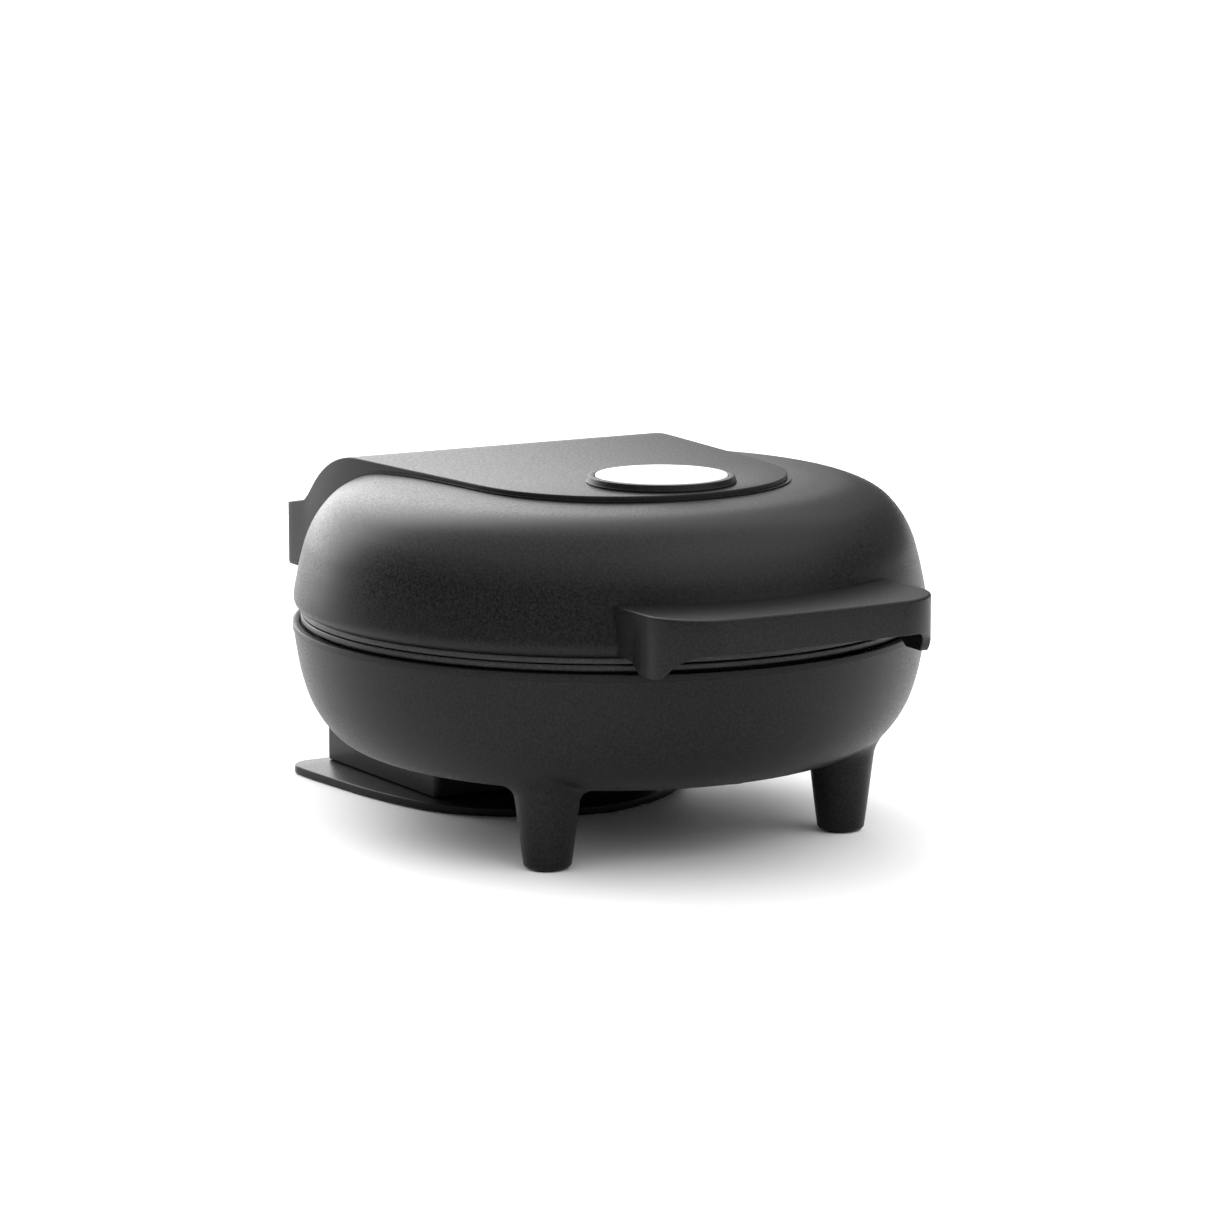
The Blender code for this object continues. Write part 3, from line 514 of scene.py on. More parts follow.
@cached
def black_plastic():
    made, tree, shader = new_material("black_plastic", 0.38)
    shader.inputs["Specular IOR Level"].default_value = 0.16
    grain = noise(tree, 1300, 3, 0.65)
    tree.links.new(ramp(tree, grain, (0.002, 0.002, 0.0022), (0.011, 0.011, 0.0115)),
                   shader.inputs["Base Color"])
    tree.links.new(ramp(tree, grain, 0.3, 0.46), shader.inputs["Roughness"])
    bump(tree, shader, [(grain, 0.17, 0.00006), (noise(tree, 420, 2), 0.05, 0.00008)])
    return made


@cached
def nonstick():
    made, tree, shader = new_material("nonstick_aluminium", 0.4, 0.1)
    shader.inputs["Specular IOR Level"].default_value = 0.3
    speckle = noise(tree, 1900, 1, 0.8)
    patches = noise(tree, 60, 3)
    tree.links.new(ramp(tree, speckle, (0.012, 0.012, 0.013), (0.05, 0.05, 0.053), 0.5, 0.8),
                   shader.inputs["Base Color"])
    tree.links.new(ramp(tree, patches, 0.32, 0.42), shader.inputs["Roughness"])
    bump(tree, shader, [(noise(tree, 700, 2), 0.25, 0.00005), (noise(tree, 150, 1), 0.15, 0.0001)])
    return made


@cached
def bare_aluminium():
    made, tree, shader = new_material("bare_aluminium", 0.34, 1.0)
    lines = noise(tree, 260, 4, 0.6, (1.0, 14.0, 1.0))
    tree.links.new(ramp(tree, lines, (0.6, 0.6, 0.61), (0.78, 0.78, 0.79)), shader.inputs["Base Color"])
    tree.links.new(ramp(tree, noise(tree, 45), 0.28, 0.42), shader.inputs["Roughness"])
    bump(tree, shader, [(lines, 0.2, 0.00004)])
    return made


@cached
def steel():
    made, tree, shader = new_material("steel", 0.3, 1.0)
    lines = noise(tree, 500, 3, 0.6, (1.0, 1.0, 9.0))
    tree.links.new(ramp(tree, lines, (0.46, 0.46, 0.45), (0.64, 0.63, 0.6)), shader.inputs["Base Color"])
    tree.links.new(ramp(tree, noise(tree, 220), 0.24, 0.38), shader.inputs["Roughness"])
    bump(tree, shader, [(lines, 0.2, 0.00003)])
    return made


@cached
def rubber():
    made, tree, shader = new_material("rubber", 0.85)
    grain = noise(tree, 2200, 3)
    tree.links.new(ramp(tree, grain, (0.014, 0.014, 0.014), (0.034, 0.033, 0.032)),
                   shader.inputs["Base Color"])
    tree.links.new(ramp(tree, noise(tree, 90), 0.78, 0.9), shader.inputs["Roughness"])
    bump(tree, shader, [(grain, 0.5, 0.00008)])
    return made


@cached
def white_lens():
    made, tree, shader = new_material("white_lens", 0.42)
    grain = noise(tree, 1700, 2, 0.6)
    tree.links.new(ramp(tree, grain, (0.84, 0.84, 0.845), (0.97, 0.97, 0.97)),
                   shader.inputs["Base Color"])
    tree.links.new(ramp(tree, noise(tree, 120), 0.36, 0.48), shader.inputs["Roughness"])
    shader.inputs["Subsurface Weight"].default_value = 0.15
    shader.inputs["Subsurface Radius"].default_value = (0.002, 0.002, 0.002)
    bump(tree, shader, [(grain, 0.35, 0.00005)])
    return made


@cached
def ceramic():
    made, tree, shader = new_material("ceramic", 0.5)
    tree.links.new(ramp(tree, noise(tree, 300, 4), (0.76, 0.74, 0.68), (0.86, 0.84, 0.79)),
                   shader.inputs["Base Color"])
    tree.links.new(ramp(tree, noise(tree, 80), 0.42, 0.58), shader.inputs["Roughness"])
    bump(tree, shader, [(noise(tree, 900, 3), 0.3, 0.00006)])
    return made


def lamp_material(name, dark, bright):
    made, tree, shader = new_material(name, 0.16)
    tree.links.new(ramp(tree, noise(tree, 240, 3), dark, bright), shader.inputs["Base Color"])
    tree.links.new(ramp(tree, noise(tree, 500), 0.12, 0.22), shader.inputs["Roughness"])
    shader.inputs["Transmission Weight"].default_value = 0.4
    bump(tree, shader, [(noise(tree, 800), 0.1, 0.00004)])
    return made


@cached
def red_lamp():
    return lamp_material("power_lamp", (0.62, 0.05, 0.02), (0.86, 0.15, 0.07))


@cached
def green_lamp():
    return lamp_material("ready_lamp", (0.05, 0.42, 0.09), (0.15, 0.7, 0.2))


MATERIALS = {
    "black_plastic": black_plastic, "nonstick_aluminium": nonstick, "bare_aluminium": bare_aluminium,
    "steel": steel, "rubber": rubber, "white_lens": white_lens, "ceramic": ceramic,
    "power_lamp": red_lamp, "ready_lamp": green_lamp,
}


# ---------------------------------------------------------------- bowl and lid

def bowl_line():
    return smooth_curve(BOWL_CURVE, 6)


def lid_line():
    return smooth_curve(LID_CURVE, 6)


def bowl_solid(grow):
    """The bowl's outside as one solid, a little larger, for cutting what touches it."""
    line = offset(bowl_line(), grow)
    bottom = BOWL_BOTTOM - grow
    line[-1] = (line[-1][0], bottom)
    top = line[0][0]
    high = RIM_Z + RIM_RUN_ON
    return turned([(0, high), (top, high), *line, (0, bottom)], ROUND)


def lid_solid(grow):
    """The lid's outside as one solid, a little larger, for cutting what touches it."""
    line = offset(lid_line(), -grow)
    radius = line[0][0] + 0.05
    low = LID_LOW - LID_RUN_ON
    top = LID_TOP + grow
    line[-1] = (WELL_R, top)
    return turned([(0, low), (radius, low), *line, (0, top)], ROUND)


def foot_ring(centre, angle, line):
    """One side line of a foot, from its sole up to where it flows into the bowl."""
    direction = Vector((cos(angle), sin(angle)))

    def cone(z):
        return FOOT_R + (FOOT_TOP_R - FOOT_R) * (z - FOOT_EDGE) / (FOOT_TOP_Z - FOOT_EDGE)

    def bowl_height(radius):
        return height_on(line, (centre + direction * radius).length)

    meet = FOOT_TOP_Z
    for _ in range(6):
        meet = bowl_height(cone(meet))
    side = [(FOOT_R - FOOT_EDGE * (1 - sin(a)), FOOT_SOLE_Z + FOOT_EDGE * (1 - cos(a)))
            for a in quarter(5)]
    side += [(cone(z), z) for z in FOOT_LEVELS]
    start = Vector((cone(meet - FOOT_FILLET[0]), meet - FOOT_FILLET[0]))
    corner = Vector((cone(meet), meet))
    reach = cone(meet) + FOOT_FILLET[1]
    stop = Vector((reach, bowl_height(reach)))
    for k in range(9):
        t = k / 8
        side.append(tuple(start * (1 - t) ** 2 + corner * 2 * t * (1 - t) + stop * t * t))
    side.append((reach, stop.y + FOOT_ROOT))
    return [(*(centre + direction * radius), z) for radius, z in side]


def foot(side, line):
    centre = Vector((side * FOOT_XY[0], FOOT_XY[1]))
    bm = bmesh.new()
    columns = []
    for k in range(MEDIUM):
        points = foot_ring(centre, 2 * pi * k / MEDIUM, line)
        columns.append([bm.verts.new(p) for p in points])
    for column, following in zip(columns, columns[1:] + columns[:1]):
        skin(bm, column, following, closed=False)
    bm.faces.new([column[0] for column in columns])
    bm.faces.new([column[-1] for column in columns])
    return finish(bm)


def make_base_shell():
    outer = bowl_line()
    seat = RIM_Z - RIM_SEAT_DEPTH
    under = RIM_Z - RIM_LIP_DEPTH
    band = RIM_Z - RIM_BAND
    inner = [p for p in offset(outer, -WALL) if p[1] < under - 1]
    rim = rounded([(RIM_R, band), (RIM_R, RIM_Z, 0.2), (101.7, RIM_Z, 0.3), (101.5, seat, 0.3),
                   (RIM_LIP_INNER, seat, 0.3), (RIM_LIP_INNER, under), (101.2, under)], 3)
    wall = [p for p in outer if p[1] < band]
    profile = [(0, BOWL_BOTTOM)] + wall[::-1] + rim + inner + [(0, BOWL_BOTTOM + WALL)]
    shell = to_object(turned(profile, ROUND), "base_shell_fine")
    for side in (-1, 1):
        join(shell, foot(side, [p for p in outer if p[1] < FOOT_LIMIT_Z]))
        cut(shell, rod(FOOT_RECESS_R, -2, FOOT_RECESS_Z, (side * FOOT_XY[0], FOOT_XY[1])))
    for angle in SHELL_BOSS_ANGLES:
        at = (SHELL_BOSS_CIRCLE * cos(radians(angle)), SHELL_BOSS_CIRCLE * sin(radians(angle)))
        join(shell, rod(SHELL_BOSS_R, *SHELL_BOSS_Z, at))
        mouth = SHELL_RECESS_R + SHELL_RECESS_MOUTH
        roof = SHELL_BOSS_Z[1] - WALL
        recess = rounded([(0, 10), (mouth, 10), (mouth, 23.2), (SHELL_RECESS_R + 0.4, 25.0, 0.8),
                          (SHELL_RECESS_R, roof), (0, roof)])
        cut(shell, moved(turned(recess), *at))
    place(shell, "base", "black_plastic", "base_shell")


def make_lid_shell():
    outer = lid_line()
    lip_top = LID_LOW + LID_LIP
    inner = [p for p in offset(outer, WALL) if p[1] > lip_top]
    lip = rounded([(99.0, lip_top), (99.4, LID_LOW, 0.4), (102.3, LID_LOW, 0.35), outer[2]], 3)
    well = rounded([(WELL_R + 2, LID_TOP), (WELL_R, LID_TOP, 0.3), (WELL_R, WELL_Z, 0.4), (0, WELL_Z)], 3)
    under = [(0, WELL_Z - WALL), (50.0, WELL_Z - WALL)]
    profile = under + inner[::-1] + lip + outer[3:-1] + well
    shell = to_object(turned(profile, ROUND), "lid_shell_fine")
    place(shell, "lid", "black_plastic", "lid_shell")


# ---------------------------------------------------------------- cooking plates

def behind(profile, face, side):
    """Turn (radius, depth behind the cooking face) points into (radius, height)."""
    return [(radius, face + side * depth) for radius, depth in profile]


def groove_line():
    """Section of a ring cavity: an oval channel whose two lips are rounded over."""
    angles = [pi * k / 24 for k in range(2, 23)]
    oval = [(RING_HALF * cos(a), RING_DEPTH * sin(a)) for a in angles]
    lip = [(RING_HALF + LIP_ROUND, -0.6), (RING_HALF + LIP_ROUND * 0.75, 0.0), (RING_HALF + 0.25, 0.35)]
    section = lip + oval + [(-x, depth) for x, depth in reversed(lip)]
    return [(RING_MID + x, depth) for x, depth in section]


def make_plate(node, body, face, side):
    disc = rounded([(0, 0), (PLATE_R, 0, 0.45), (PLATE_R, FLANGE, 0.45), (PLATE_BODY_R, FLANGE),
                    (PLATE_BODY_R, PLATE_THICK), (0, PLATE_THICK)], 4)
    bulge = [(0, 2.0), (RING_BACK[0][0], 2.0)] + smooth_curve(RING_BACK, 2) + [(0, RING_BACK[-1][1])]
    plate = to_object(turned(behind(disc, face, side), ROUND), f"{node}_fine")
    centres = [(0.0, 0.0)] + arc((0, 0), RING_PITCH, 0, 300, 5)
    for centre in centres:
        join(plate, moved(turned(behind(bulge, face, side), SMALL), *centre))
    for centre in centres:
        cut(plate, moved(turned(behind(groove_line(), face, side), MEDIUM, closed=True), *centre))
    place(plate, body, "nonstick_aluminium", node, sharp=PLATE_SHARP)


# ---------------------------------------------------------------- top strap

def strap_half(y):
    """Half of the strap's width: its sides flare to the back and end up parallel."""
    if y <= STRAP_FLARE_END:
        return STRAP_HALF_WIDTH + STRAP_FLARE * y
    t = min((y - STRAP_FLARE_END) / STRAP_EASE, 1.0)
    return STRAP_HALF_WIDTH + STRAP_FLARE * (STRAP_FLARE_END + STRAP_EASE * (t - t * t / 2))


def strap_plan():
    """Right-hand half of the strap's plan from the front tip to the middle of the back."""
    steps = 6
    before = (-STRAP_TIP[1][0], STRAP_TIP[1][1])
    half = smooth_curve([before, *STRAP_TIP, (strap_half(0.0), 0.0)], steps)[steps:]
    back = STRAP_HIGH.y - STRAP_CORNER
    half += [(strap_half(back * k / 40), back * k / 40) for k in range(1, 41)]
    half += arc((strap_half(back) - STRAP_CORNER, back), STRAP_CORNER, 0, 90, 5)[1:]
    return half


def strap_ring(half, shift):
    """The whole plan from its right-hand half, moved inwards by `shift`."""
    line = offset(half, shift)
    line[0] = (0.0, half[0][1] + shift)
    line[-1] = (line[-1][0], half[-1][1] - shift)
    return line + [(-x, y) for x, y in reversed(line[1:])]


def strap_solid():
    """The strap as one solid block, its edges rounded."""
    curve = smooth_curve(STRAP_SLOPE, 6)
    half = strap_plan()
    foot = [(1.2, 0.0), (0.35, 0.35), (0.0, 1.2)]
    levels = [(shift, STRAP_LOW.z + rise, 0.0) for shift, rise in foot]
    levels += [(STRAP_EDGE * (1 - cos(a)), None, STRAP_EDGE * (1 - sin(a))) for a in quarter(4)]
    bm = bmesh.new()
    loops = []
    for shift, level, sink in levels:
        full = strap_ring(half, shift)
        heights = [level] * len(full)
        if level is None:
            heights = [min(value_at(curve, y), STRAP_HIGH.z) - sink for _, y in full]
        loops.append([bm.verts.new((x, y, z)) for (x, y), z in zip(full, heights)])
    for lower, upper in zip(loops, loops[1:]):
        skin(bm, lower, upper)
    bm.faces.new(loops[0][::-1])
    top = loops[-1]
    count = len(top)
    bm.faces.new((top[0], top[1], top[-1]))
    for k in range(1, (count - 1) // 2):
        bm.faces.new((top[k], top[k + 1], top[count - k - 1], top[count - k]))
    return finish(bm)


def strap_hollow():
    """The space inside the strap's rear part, open below."""
    front, back = STRAP_HOLLOW_FRONT, STRAP_HIGH.y - WALL
    low = STRAP_HOLLOW_LOW
    slope = [p for p in smooth_curve(STRAP_SLOPE, 4) if p[0] > front]
    roof = [p for p in offset(slope, -WALL) if p[0] < back]
    side = [(front, roof[0][1])] + roof + [(back, roof[-1][1]), (back, low), (front, low)]
    hollow = to_object(side_slab(side, -STRAP_HOLLOW_HALF, STRAP_HOLLOW_HALF), "hollow")
    side_line = [(strap_half(y) - WALL, y) for y in (front - 1, front + 10, front + 20, back + 1)]
    plan = side_line + [(-x, y) for x, y in reversed(side_line)]
    combine(hollow, slab(plan, *STRAP_HOLLOW_Z), "INTERSECT")
    return taken(hollow)


def strap_skirt():
    """A thin ledge that follows the dome at the foot of the strap's wall."""
    skirt = to_object(slab(strap_ring(strap_plan(), -STRAP_SKIRT), LID_LOW + 4, LID_TOP + 0.6), "skirt")
    combine(skirt, lid_solid(STRAP_SKIRT_RISE), "INTERSECT")
    return taken(skirt)


def make_strap():
    strap = to_object(strap_solid(), "top_strap_fine")
    join(strap, strap_skirt())
    cut(strap, strap_hollow())
    lug = arc((HINGE.y, HINGE.z), LUG_R, 180, 360, 16)
    lug += [(HINGE.y + LUG_R, LUG_ROOT_Z[1]), (HINGE.y - LUG_R, LUG_ROOT_Z[0])]
    for x0, x1 in LUG_X:
        join(strap, side_slab(lug, x0, x1))
        join(strap, side_slab(lug, -x1, -x0))
    cut(strap, lid_solid(CONTACT))
    for side in (-1, 1):
        low, high = sorted((side * (EAR_X[0] - SLOT_ROOM), side * (EAR_X[1] + SLOT_ROOM)))
        depth = (HINGE.y + SLOT_FRONT, STRAP_HIGH.y + SLOT_BACK)
        cut(strap, box((low, high), depth, (SLOT_LOW, HINGE.z + SLOT_TOP)))
        low, high = sorted((side * BORE_X[0], side * BORE_X[1]))
        cut(strap, laid(rod(PIN_R + BORE_ROOM, low, high), (1, 0, 0), 0, HINGE.y, HINGE.z))
    cut(strap, rod(LENS_HIGH.x - LENS_SHELF, *LENS_HOLE_Z, (0, lens_y()), MEDIUM))
    place(strap, "lid", "black_plastic", "top_strap")


# ---------------------------------------------------------------- handle

def handle_plan():
    """Plan of the handle from its left end in the lid, round the front, to its right end."""
    front = HANDLE_LOW.y
    half_width = HANDLE_HIGH.x
    centre = (half_width - HANDLE_CORNER, front + HANDLE_BOW + HANDLE_CORNER)
    right = [(centre[0] * t, front + HANDLE_BOW * t * t) for t in (k / 12 for k in range(13))]
    right += arc(centre, HANDLE_CORNER, -86.4, 0, 26)
    steps = 24
    length = HANDLE_END_Y - centre[1]
    right += [(half_width, centre[1] + length * k / steps) for k in range(1, steps + 1)]
    return [(-x, y) for x, y in reversed(right[1:])] + right


def handle_bottom(x, y):
    """Height of the lower edge: high under the grip, down to the tabs, notched at the lid."""
    tab = HANDLE_LOW.z
    if y < -HANDLE_TAB_FRONT:
        return value_at(smooth_curve(HANDLE_SLANT, 5)[::-1], abs(x))
    return value_at([(y_at, tab + rise) for y_at, rise in HANDLE_NOTCH], y)


def make_handle():
    plan = handle_plan()
    top = HANDLE_HIGH.z
    edge = HANDLE_FOOT_EDGE
    ceiling = top - HANDLE_WALL
    sections = [(edge, None, 0.0), (edge * 0.3, None, edge * 0.3), (0.0, None, edge)]
    sections += [(HANDLE_EDGE * (1 - cos(a)), top - HANDLE_EDGE * (1 - sin(a)), 0) for a in quarter(6)]
    inner = [(HANDLE_WALL - edge, None, 0.0), (HANDLE_WALL, None, edge), (HANDLE_WALL, ceiling, 0)]
    feet = [handle_bottom(x, y) for x, y in plan]
    bm = bmesh.new()

    def row(inset, z, rise):
        """One line round the handle; without a height it follows the lower edge."""
        heights = [foot_z + rise if z is None else z for foot_z in feet]
        return [bm.verts.new((x, y, height)) for (x, y), height in zip(offset(plan, inset), heights)]

    outer_rows = [row(*section) for section in sections]
    inner_rows = [row(*section) for section in inner]
    for lower, upper in zip(outer_rows, outer_rows[1:]):
        skin(bm, lower, upper, closed=False)
    for lower, upper in zip(inner_rows, inner_rows[1:]):
        skin(bm, upper, lower, closed=False)
    skin(bm, inner_rows[0], outer_rows[0], closed=False)
    for cap in (outer_rows[-1], inner_rows[-1]):
        count = len(cap)
        middle = count // 2
        bm.faces.new((cap[middle - 1], cap[middle], cap[middle + 1]))
        for k in range(1, middle):
            bm.faces.new((cap[middle - k - 1], cap[middle - k], cap[middle + k], cap[middle + k + 1]))
    left = [line[0] for line in outer_rows]
    right = [line[-1] for line in outer_rows]
    left_in = [line[0] for line in inner_rows]
    right_in = [line[-1] for line in inner_rows]
    bm.faces.new(left + right[::-1] + right_in + left_in[::-1])
    handle = to_object(finish(bm), "handle_fine")
    for side in (-1, 1):
        x, z = side * HANDLE_SCREW_XZ[0], HANDLE_SCREW_XZ[1]
        join(handle, laid(rod(HANDLE_BOSS_R, 0, HANDLE_BOSS_LENGTH), (0, -1, 0), x, HANDLE_BOSS_Y, z))
    cut(handle, lid_solid(CONTACT))
    place(handle, "lid", "black_plastic", "handle")


# ---------------------------------------------------------------- indicator

def lens_y():
    return (LENS_LOW.y + LENS_HIGH.y) / 2


def make_indicator():
    low = STRAP_HIGH.z
    high = LENS_HIGH.z
    lens_r = LENS_HIGH.x
    hole_r = lens_r + BEZEL_GAP
    top = high - BEZEL_SINK
    ring = rounded([(hole_r, low + 0.1), (BEZEL_FOOT_R, low + 0.1, 0.1), (BEZEL_FOOT_R, low + 0.5, 0.1),
                    (BEZEL_FOOT_R - 0.25, low + 0.55, 0.05), (BEZEL_TOP_R, top, 0.12),
                    (hole_r, top, 0.1), (hole_r, low + 0.1)], 3)[:-1]
    piece(moved(turned(ring, MEDIUM, closed=True), 0, lens_y()), "lens_bezel", "lid", "black_plastic")
    neck = lens_r - 1.0
    bore = neck - LENS_NECK_WALL
    lens = rounded([(0, high), (lens_r * 0.5, high - 0.02), (lens_r, high - 0.12, 0.35),
                    (lens_r, low + 0.3, 0.2), (neck, low + 0.3), (neck, LENS_LOW.z), (bore, LENS_LOW.z),
                    (bore, low + 1.2), (0, low + 1.2)], 4)
    piece(moved(turned(lens, MEDIUM), 0, lens_y()), "indicator_lens", "lid", "white_lens")


# ---------------------------------------------------------------- rear stand

def housing_plan(inset=0.0):
    front = HOUSING_FRONT + inset
    back = HOUSING_BACK - inset
    front_half = HOUSING_HALF + HOUSING_FLARE * front - inset
    back_half = HOUSING_HALF + HOUSING_FLARE * back - inset
    right = rounded([(0, front), (front_half, front, HOUSING_CORNERS[0]),
                     (back_half, back, HOUSING_CORNERS[1]), (0, back)], 6)[1:-1]
    return right + [(-x, y) for x, y in reversed(right)]


def make_rear_housing():
    low = HOUSING_LOW.z - HOUSING_SINK
    housing = to_object(slab(housing_plan(), low, HOUSING_TOP, HOUSING_EDGE), "rear_housing_fine")
    cut(housing, slab(housing_plan(WALL), 0, HOUSING_TOP - WALL))
    cut(housing, bowl_solid(CONTACT))
    crown = arc((HINGE.y, HINGE.z), EAR_R, -40, 200, 36)
    front, back = EAR_STEM
    ear = [(front, EAR_STEM_Z[0]), (back, EAR_STEM_Z[0]), (back, EAR_STEM_Z[1])] + crown
    for side in (-1, 1):
        x0, x1 = sorted((side * EAR_X[0], side * EAR_X[1]))
        join(housing, side_slab(ear, x0, x1, EAR_EDGE))
        cut(housing, laid(rod(PIN_R + EYE_ROOM, x0 - 2, x1 + 2), (1, 0, 0), 0, HINGE.y, HINGE.z))
    cut(housing, laid(rod(GLAND_HOLE_R, 0, 12), (0, 1, 0), 0, HOUSING_BACK - 6, GLAND_Z))
    place(housing, "base", "black_plastic", "rear_housing")


def round_plan(node):
    """Radius and centre of an upright round CAD node."""
    low, high = span(node)
    return (high.x - low.x) / 2, ((low.x + high.x) / 2, (low.y + high.y) / 2)


def wrap_plan():
    before = (-WRAP_CURVE[1][0], WRAP_CURVE[1][1])
    half = smooth_curve([before] + WRAP_CURVE, 8)[8:]
    corner = (WRAP_HIGH.x - WRAP_CORNER, WRAP_HIGH.y - WRAP_CORNER)
    half += arc(corner, WRAP_CORNER, 0, 90, 12)
    return half + [(-x, y) for x, y in reversed(half) if x > 1e-6]


def make_wrap_plate():
    plate = to_object(slab(wrap_plan(), WRAP_LOW.z, WRAP_HIGH.z, WRAP_EDGE), "cord_wrap_plate_fine")
    for node in ("wrap_screw_left", "wrap_screw_right", "wrap_screw_front", *REAR_PADS):
        radius, centre = round_plan(node)
        cut(plate, rod(radius + WRAP_RECESS_ROOM, -2, WRAP_RECESS_Z, centre))
    place(plate, "base", "black_plastic", "cord_wrap_plate")


# ---------------------------------------------------------------- small fittings

def make_pads():
    for node in ("foot_pad_left", "foot_pad_right", *REAR_PADS):
        low, high = span(node)
        radius, centre = round_plan(node)
        line = rounded([(0, low.z), (radius, low.z, 0.35), (radius, high.z, 0.2), (0, high.z)], 4)
        piece(moved(turned(line), *centre), node, "base", "rubber")


def cross_recess(radius, depth, z):
    """A cross-shaped driver recess of two straight bars, cut upwards from a head at height z."""
    arm = radius * 0.62
    wide = radius * 0.16
    recess = to_object(box((-arm, arm), (-wide, wide), (z - 1, z + depth)), "recess")
    join(recess, box((-wide, wide), (-arm, arm), (z - 1, z + depth)))
    return taken(recess)


def make_screws():
    """The screws seen from below: round heads with a cross recess."""
    names = [f"{group}_screw_{side}" for group in ("base", "wrap") for side in ("front", "left", "right")]
    for node in names:
        low, high = span(node)
        radius, centre = round_plan(node)
        head = WRAP_HEAD if node.startswith("wrap") else BASE_HEAD
        seat = low.z + head
        line = rounded([(0, low.z), (radius, low.z, head * 0.75), (radius, seat), (SCREW_SHANK_R, seat),
                        (SCREW_SHANK_R, high.z), (0, high.z)], 6)
        screw = to_object(turned(line), f"{node}_fine")
        cut(screw, cross_recess(radius, head * 0.6, low.z))
        screw.data.transform(Matrix.Translation((*centre, 0)))
        place(screw, "base", "steel", node)


def make_pins():
    for node in ("hinge_pin_left", "hinge_pin_right"):
        low, high = span(node)
        line = rounded([(0, low.x), (PIN_R, low.x, 0.4), (PIN_R, high.x, 0.4), (0, high.x)], 4)
        piece(laid(turned(line), (1, 0, 0), 0, HINGE.y, HINGE.z), node, "base", "steel")


def make_gland():
    line = rounded([(3.3, -4.0), (5.0, -4.0), (5.0, 0.2, 0.3), (7.0, 0.2, 0.6), (6.6, 2.4, 0.9),
                    (3.6, 2.6, 0.5), (3.3, -4.0)], 4)[:-1]
    bush = laid(turned(line, closed=True), (0, 1, 0), 0, HOUSING_BACK, GLAND_Z)
    piece(bush, "cord_gland", "base", "rubber")


def finish_cad_nodes():
    """Give every CAD node that stays in view, or is hidden inside, its procedural material."""
    for part in frame["record"]["subparts"]:
        obj = frame["nodes"][part["node"]]
        if not obj.hide_render:
            obj.data.materials.clear()
            obj.data.materials.append(MATERIALS[part["material_slot"]]())


# ---------------------------------------------------------------- stage, light and camera

FLOOR_R = 14.0
CAMERA_AZIMUTH = radians(-30.33)
CAMERA_ELEVATION = radians(10.05)
CAMERA_DISTANCE = 1.5074
CAMERA_LENS = 134.27
TARGET_Z = 0.0672
TARGET_SHIFT = (0.00176, 0.000333)

# soft light from all round as (azimuth, elevation, half width, strength), angles in degrees;
# azimuth 0 is behind the object as seen from its front, positive to the right
GLOW = 0.2
SOFT_BOXES = [(-1.0, 19.0, 39.0, 5.2), (0.0, 90.0, 75.0, 1.8), (150.0, 40.0, 45.0, 1.2)]


def make_floor():
    bm = bmesh.new()
    bmesh.ops.create_circle(bm, cap_ends=True, segments=64, radius=FLOOR_R)
    floor = to_object(bm, "floor")
    made, tree, shader = new_material("pale_floor", 0.7)
    tree.links.new(ramp(tree, noise(tree, 3.0), 0.86, 0.9), shader.inputs["Base Color"])
    shader.inputs["Specular IOR Level"].default_value = 0.1
    floor.data.materials.append(made)


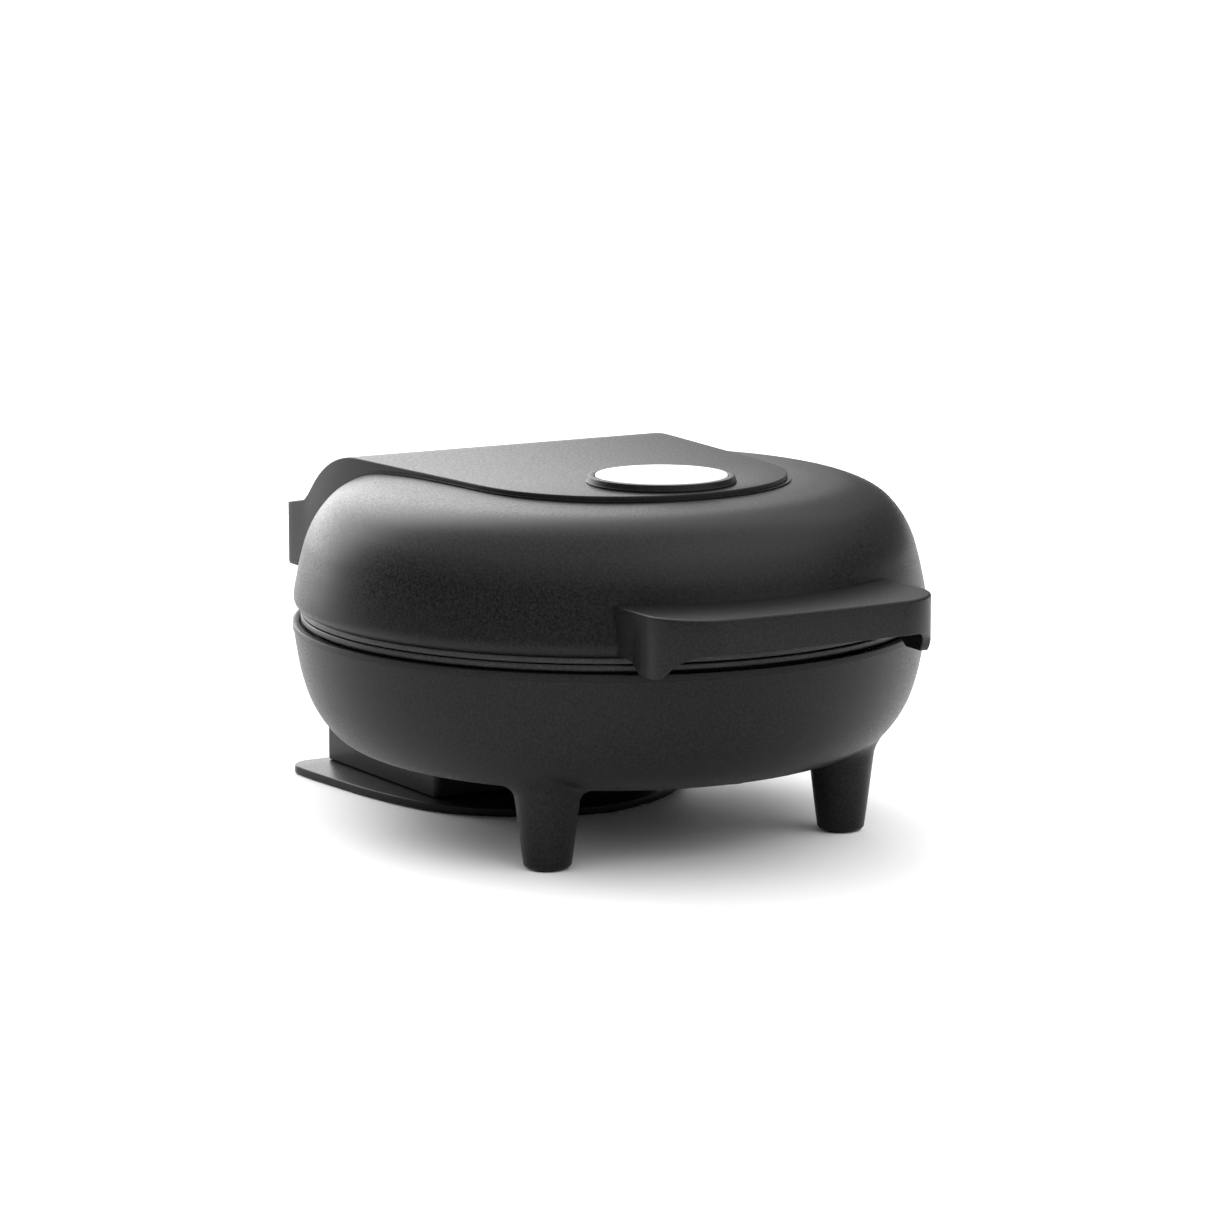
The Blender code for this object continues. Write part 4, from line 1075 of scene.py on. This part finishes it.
def make_light():
    world = bpy.data.worlds.new("studio")
    bpy.context.scene.world = world
    world.use_nodes = True
    tree = world.node_tree
    background = tree.nodes["Background"]
    background.inputs["Color"].default_value = (1.0, 1.0, 1.0, 1.0)
    direction = tree.nodes.new("ShaderNodeTexCoord").outputs["Generated"]
    total = None
    for azimuth, elevation, width, strength in SOFT_BOXES:
        a, e = radians(azimuth), radians(elevation)
        dot = tree.nodes.new("ShaderNodeVectorMath")
        dot.operation = "DOT_PRODUCT"
        dot.inputs[1].default_value = (sin(a) * cos(e), cos(a) * cos(e), sin(e))
        tree.links.new(direction, dot.inputs[0])
        fade = tree.nodes.new("ShaderNodeMapRange")
        fade.interpolation_type = "SMOOTHERSTEP"
        fade.inputs["From Min"].default_value = cos(radians(width))
        fade.inputs["From Max"].default_value = cos(radians(width * 0.35))
        fade.inputs["To Min"].default_value = 0.0
        fade.inputs["To Max"].default_value = strength
        tree.links.new(dot.outputs["Value"], fade.inputs["Value"])
        if total is None:
            total = fade.outputs["Result"]
            continue
        add = tree.nodes.new("ShaderNodeMath")
        add.operation = "ADD"
        tree.links.new(total, add.inputs[0])
        tree.links.new(fade.outputs["Result"], add.inputs[1])
        total = add.outputs["Value"]
    add = tree.nodes.new("ShaderNodeMath")
    add.operation = "ADD"
    add.inputs[1].default_value = GLOW
    tree.links.new(total, add.inputs[0])
    tree.links.new(add.outputs["Value"], background.inputs["Strength"])


def make_camera():
    a, e = CAMERA_AZIMUTH, CAMERA_ELEVATION
    back = Vector((sin(a) * cos(e), -cos(a) * cos(e), sin(e)))
    right = Vector((cos(a), sin(a), 0.0))
    up = back.cross(right)
    target = Vector((0.0, AXIS_Y * MM, TARGET_Z)) + right * TARGET_SHIFT[0] + up * TARGET_SHIFT[1]
    data = bpy.data.cameras.new("camera")
    data.lens = CAMERA_LENS
    data.sensor_width = 36.0
    data.clip_end = 100.0
    camera = bpy.data.objects.new("camera", data)
    bpy.context.scene.collection.objects.link(camera)
    turn = Matrix((right, up, back)).transposed().to_4x4()
    camera.matrix_world = Matrix.Translation(target + back * CAMERA_DISTANCE) @ turn
    bpy.context.scene.camera = camera


def main():
    make_base_shell()
    make_lid_shell()
    make_plate("lower_cooking_plate", "base", LOWER_FACE, -1)
    make_plate("upper_cooking_plate", "lid", UPPER_FACE, 1)
    make_strap()
    make_handle()
    make_indicator()
    make_rear_housing()
    make_wrap_plate()
    make_pads()
    make_screws()
    make_pins()
    make_gland()
    finish_cad_nodes()
    make_floor()
    make_light()
    make_camera()
    bpy.context.scene.view_settings.view_transform = "Standard"


main()
